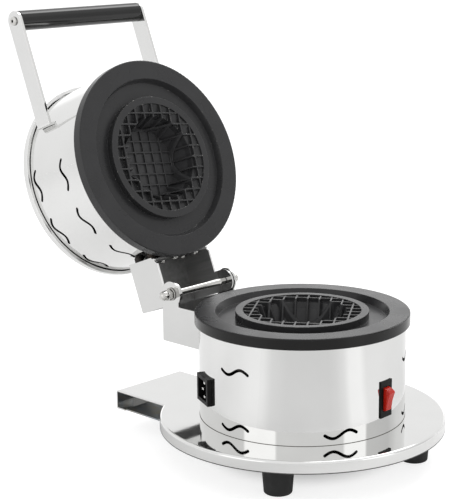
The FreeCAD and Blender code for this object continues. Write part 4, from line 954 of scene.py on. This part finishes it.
class PRESS_OT_stage(Operator):
    """Set the pale floor, the soft light and the camera"""
    bl_idname = "press.stage"
    bl_label = "Stage"

    def execute(self, context):
        scene = context.scene
        stage = scene.press_stage
        self.light_surround(scene, stage)
        self.lay_floor(scene)
        self.hang_lamp(scene, stage)
        self.place_camera(scene, stage)
        scene.view_settings.view_transform = "Standard"
        return {"FINISHED"}

    def light_surround(self, scene, stage):
        """A white surround. Polished metal also sees the panels and lamps that stand in it."""
        world = bpy.data.worlds.new("white_surround")
        world.use_nodes = True
        scene.world = world
        tree = world.node_tree
        ray = add_node(tree, "ShaderNodeLightPath")
        heading = add_node(tree, "ShaderNodeTexCoord").outputs["Generated"]
        around = add_node(tree, "ShaderNodeTexGradient", {"gradient_type": "RADIAL"},
                          {"Vector": heading})
        panels, sweep, strip = [
            add_node(tree, "ShaderNodeValToRGB", links={"Fac": around.outputs["Fac"]},
                     stops=sector_stops(sectors))
            for sectors in (PANEL_SECTORS, SWEEP_SECTORS, STRIP_SECTORS)
        ]
        up = add_node(tree, "ShaderNodeSeparateXYZ", links={0: heading})
        low, high, top = [
            add_node(tree, "ShaderNodeMapRange", {"From Min": start, "From Max": end},
                     {"Value": up.outputs["Z"]})
            for start, end in (SWEEP_RISE, PANEL_RISE, STRIP_RISE)
        ]
        mirror = add_node(tree, "ShaderNodeMix", {"data_type": "RGBA", 7: grey(1.0)},
                          {0: high.outputs["Result"], 6: panels.outputs["Color"]})
        for mask, levels in ((top, strip), (low, sweep)):
            mirror = add_node(tree, "ShaderNodeMix", {"data_type": "RGBA", "blend_type": "MULTIPLY"},
                              {0: mask.outputs["Result"], 6: mirror.outputs[2],
                               7: levels.outputs["Color"]})
        white = add_node(tree, "ShaderNodeMix", {"data_type": "RGBA", 6: grey(1.0)},
                         {0: ray.outputs["Is Glossy Ray"], 7: mirror.outputs[2]})
        seen = ray.outputs["Is Camera Ray"]
        for kind in ("Is Glossy Ray", "Is Transmission Ray"):
            seen = add_node(tree, "ShaderNodeMath", {"operation": "MAXIMUM"},
                            {0: seen, 1: ray.outputs[kind]}).outputs["Value"]
        level = add_node(tree, "ShaderNodeMapRange", {"To Min": stage.sky_level, "To Max": 1.0},
                         {"Value": seen})
        feed(tree, tree.nodes["Background"],
             {"Color": white.outputs[2], "Strength": level.outputs["Result"]})

    def lay_floor(self, scene):
        """A wide painted floor."""
        mesh = bpy.data.meshes.new("floor")
        corners = [(x * FLOOR_HALF, y * FLOOR_HALF, 0) for x, y in ((-1, -1), (1, -1), (1, 1), (-1, 1))]
        mesh.from_pydata(corners, [], [(0, 1, 2, 3)])
        floor = bpy.data.objects.new("floor", mesh)
        scene.collection.objects.link(floor)
        # Painted studio floor: even and matt. Polished metal sees the cards that lie around the press
        # as brighter and darker sectors, and the camera sees the bare floor.
        material, tree, shader = new_material("painted_floor", {"Roughness": 0.9})
        spot = add_node(tree, "ShaderNodeTexCoord").outputs["Object"]
        around = add_node(tree, "ShaderNodeTexGradient", {"gradient_type": "RADIAL"}, {"Vector": spot})
        cards = add_node(tree, "ShaderNodeValToRGB", links={"Fac": around.outputs["Fac"]},
                         stops=sector_stops(CARD_SECTORS))
        reach = add_node(tree, "ShaderNodeVectorMath", {"operation": "LENGTH"}, {0: spot})
        # The cards begin and end at two distances. The floor that the camera sees glows, with a painted
        # shadow where the glow falls off under the press.
        begin, end, shadowed_glow = [
            add_node(tree, "ShaderNodeMapRange",
                     {"interpolation_type": "SMOOTHSTEP", "From Min": near, "From Max": far,
                      "To Min": first, "To Max": last}, {"Value": reach.outputs["Value"]})
            for (near, far), (first, last) in ((CARD_START, (0.0, 1.0)), (CARD_END, (0.0, 1.0)),
                                               (SHADOW_REACH, CAMERA_GLOW))
        ]
        inner = add_node(tree, "ShaderNodeMix", {"data_type": "RGBA", 6: grey(NEAR_LEVEL)},
                         {0: begin.outputs["Result"], 7: cards.outputs["Color"]})
        laid = add_node(tree, "ShaderNodeMix", {"data_type": "RGBA", 7: grey(FAR_LEVEL)},
                        {0: end.outputs["Result"], 6: inner.outputs[2]})
        ray = add_node(tree, "ShaderNodeLightPath")
        paint = add_node(tree, "ShaderNodeMix",
                         {"data_type": "RGBA", 7: linear(scene.press_colours.floor)},
                         {0: ray.outputs["Is Camera Ray"], 6: laid.outputs[2]})
        lift = add_node(tree, "ShaderNodeMapRange", {"To Min": FLOOR_GLOW},
                        {"Value": ray.outputs["Is Camera Ray"], "To Max": shadowed_glow.outputs["Result"]})
        feed(tree, shader, {"Base Color": paint.outputs[2], "Emission Color": paint.outputs[2],
                            "Emission Strength": lift.outputs["Result"]})
        mesh.materials.append(material)

    def hang_lamp(self, scene, stage):
        """A large soft lamp at the upper right."""
        lamp = bpy.data.lights.new("softbox", "AREA")
        lamp.shape = "RECTANGLE"
        lamp.size, lamp.size_y = stage.key_size
        lamp.energy = stage.key_power
        holder = bpy.data.objects.new("softbox", lamp)
        scene.collection.objects.link(holder)
        # Polished metal mirrors the surround alone.
        holder.visible_glossy = False
        aim = Vector(stage.key_aim) - Vector(stage.key_place)
        holder.matrix_world = (Matrix.Translation(stage.key_place)
                               @ aim.to_track_quat("-Z", "Y").to_matrix().to_4x4())

    def place_camera(self, scene, stage):
        """The camera at the photograph's viewing angle."""
        camera = bpy.data.cameras.new("camera")
        camera.lens = stage.camera_lens
        camera.sensor_width = 36.0
        camera.clip_end = 50.0
        holder = bpy.data.objects.new("camera", camera)
        scene.collection.objects.link(holder)
        pitch, roll, heading = stage.camera_turn
        holder.matrix_world = (Matrix.Translation(stage.camera_place) @ Matrix.Rotation(heading, 4, "Z")
                               @ Matrix.Rotation(pitch, 4, "X") @ Matrix.Rotation(roll, 4, "Z"))
        scene.camera = holder


MAKERS = (PRESS_OT_sheet_metal, PRESS_OT_moulds, PRESS_OT_fixings, PRESS_OT_handle_and_feet,
          PRESS_OT_electrics, PRESS_OT_insides, PRESS_OT_stage)


class VIEW3D_PT_press(Panel):
    """Lists the makers of the press's pieces"""
    bl_label = "Waffle Press"
    bl_idname = "VIEW3D_PT_press"
    bl_space_type = "VIEW_3D"
    bl_region_type = "UI"
    bl_category = "Waffle Press"

    def draw(self, context):
        for maker in MAKERS:
            self.layout.operator(maker.bl_idname)


GROUPS = (("press_sizes", PressSizes), ("press_colours", PressColours), ("press_stage", PressStage))


def register():
    """Add the settings, the makers and their panel to Blender."""
    for name, kind in GROUPS:
        bpy.utils.register_class(kind)
        setattr(bpy.types.Scene, name, PointerProperty(type=kind))
    for kind in (*MAKERS, VIEW3D_PT_press):
        bpy.utils.register_class(kind)


def unregister():
    """Take them out again, in the other order."""
    for kind in (VIEW3D_PT_press, *reversed(MAKERS)):
        bpy.utils.unregister_class(kind)
    for name, kind in reversed(GROUPS):
        delattr(bpy.types.Scene, name)
        bpy.utils.unregister_class(kind)


def main():
    """Make the press and its stage."""
    register()
    bpy.ops.press.sheet_metal()
    bpy.ops.press.moulds()
    bpy.ops.press.fixings()
    bpy.ops.press.handle_and_feet()
    bpy.ops.press.electrics()
    bpy.ops.press.insides()
    bpy.ops.press.stage()


if __name__ == "__main__":
    main()
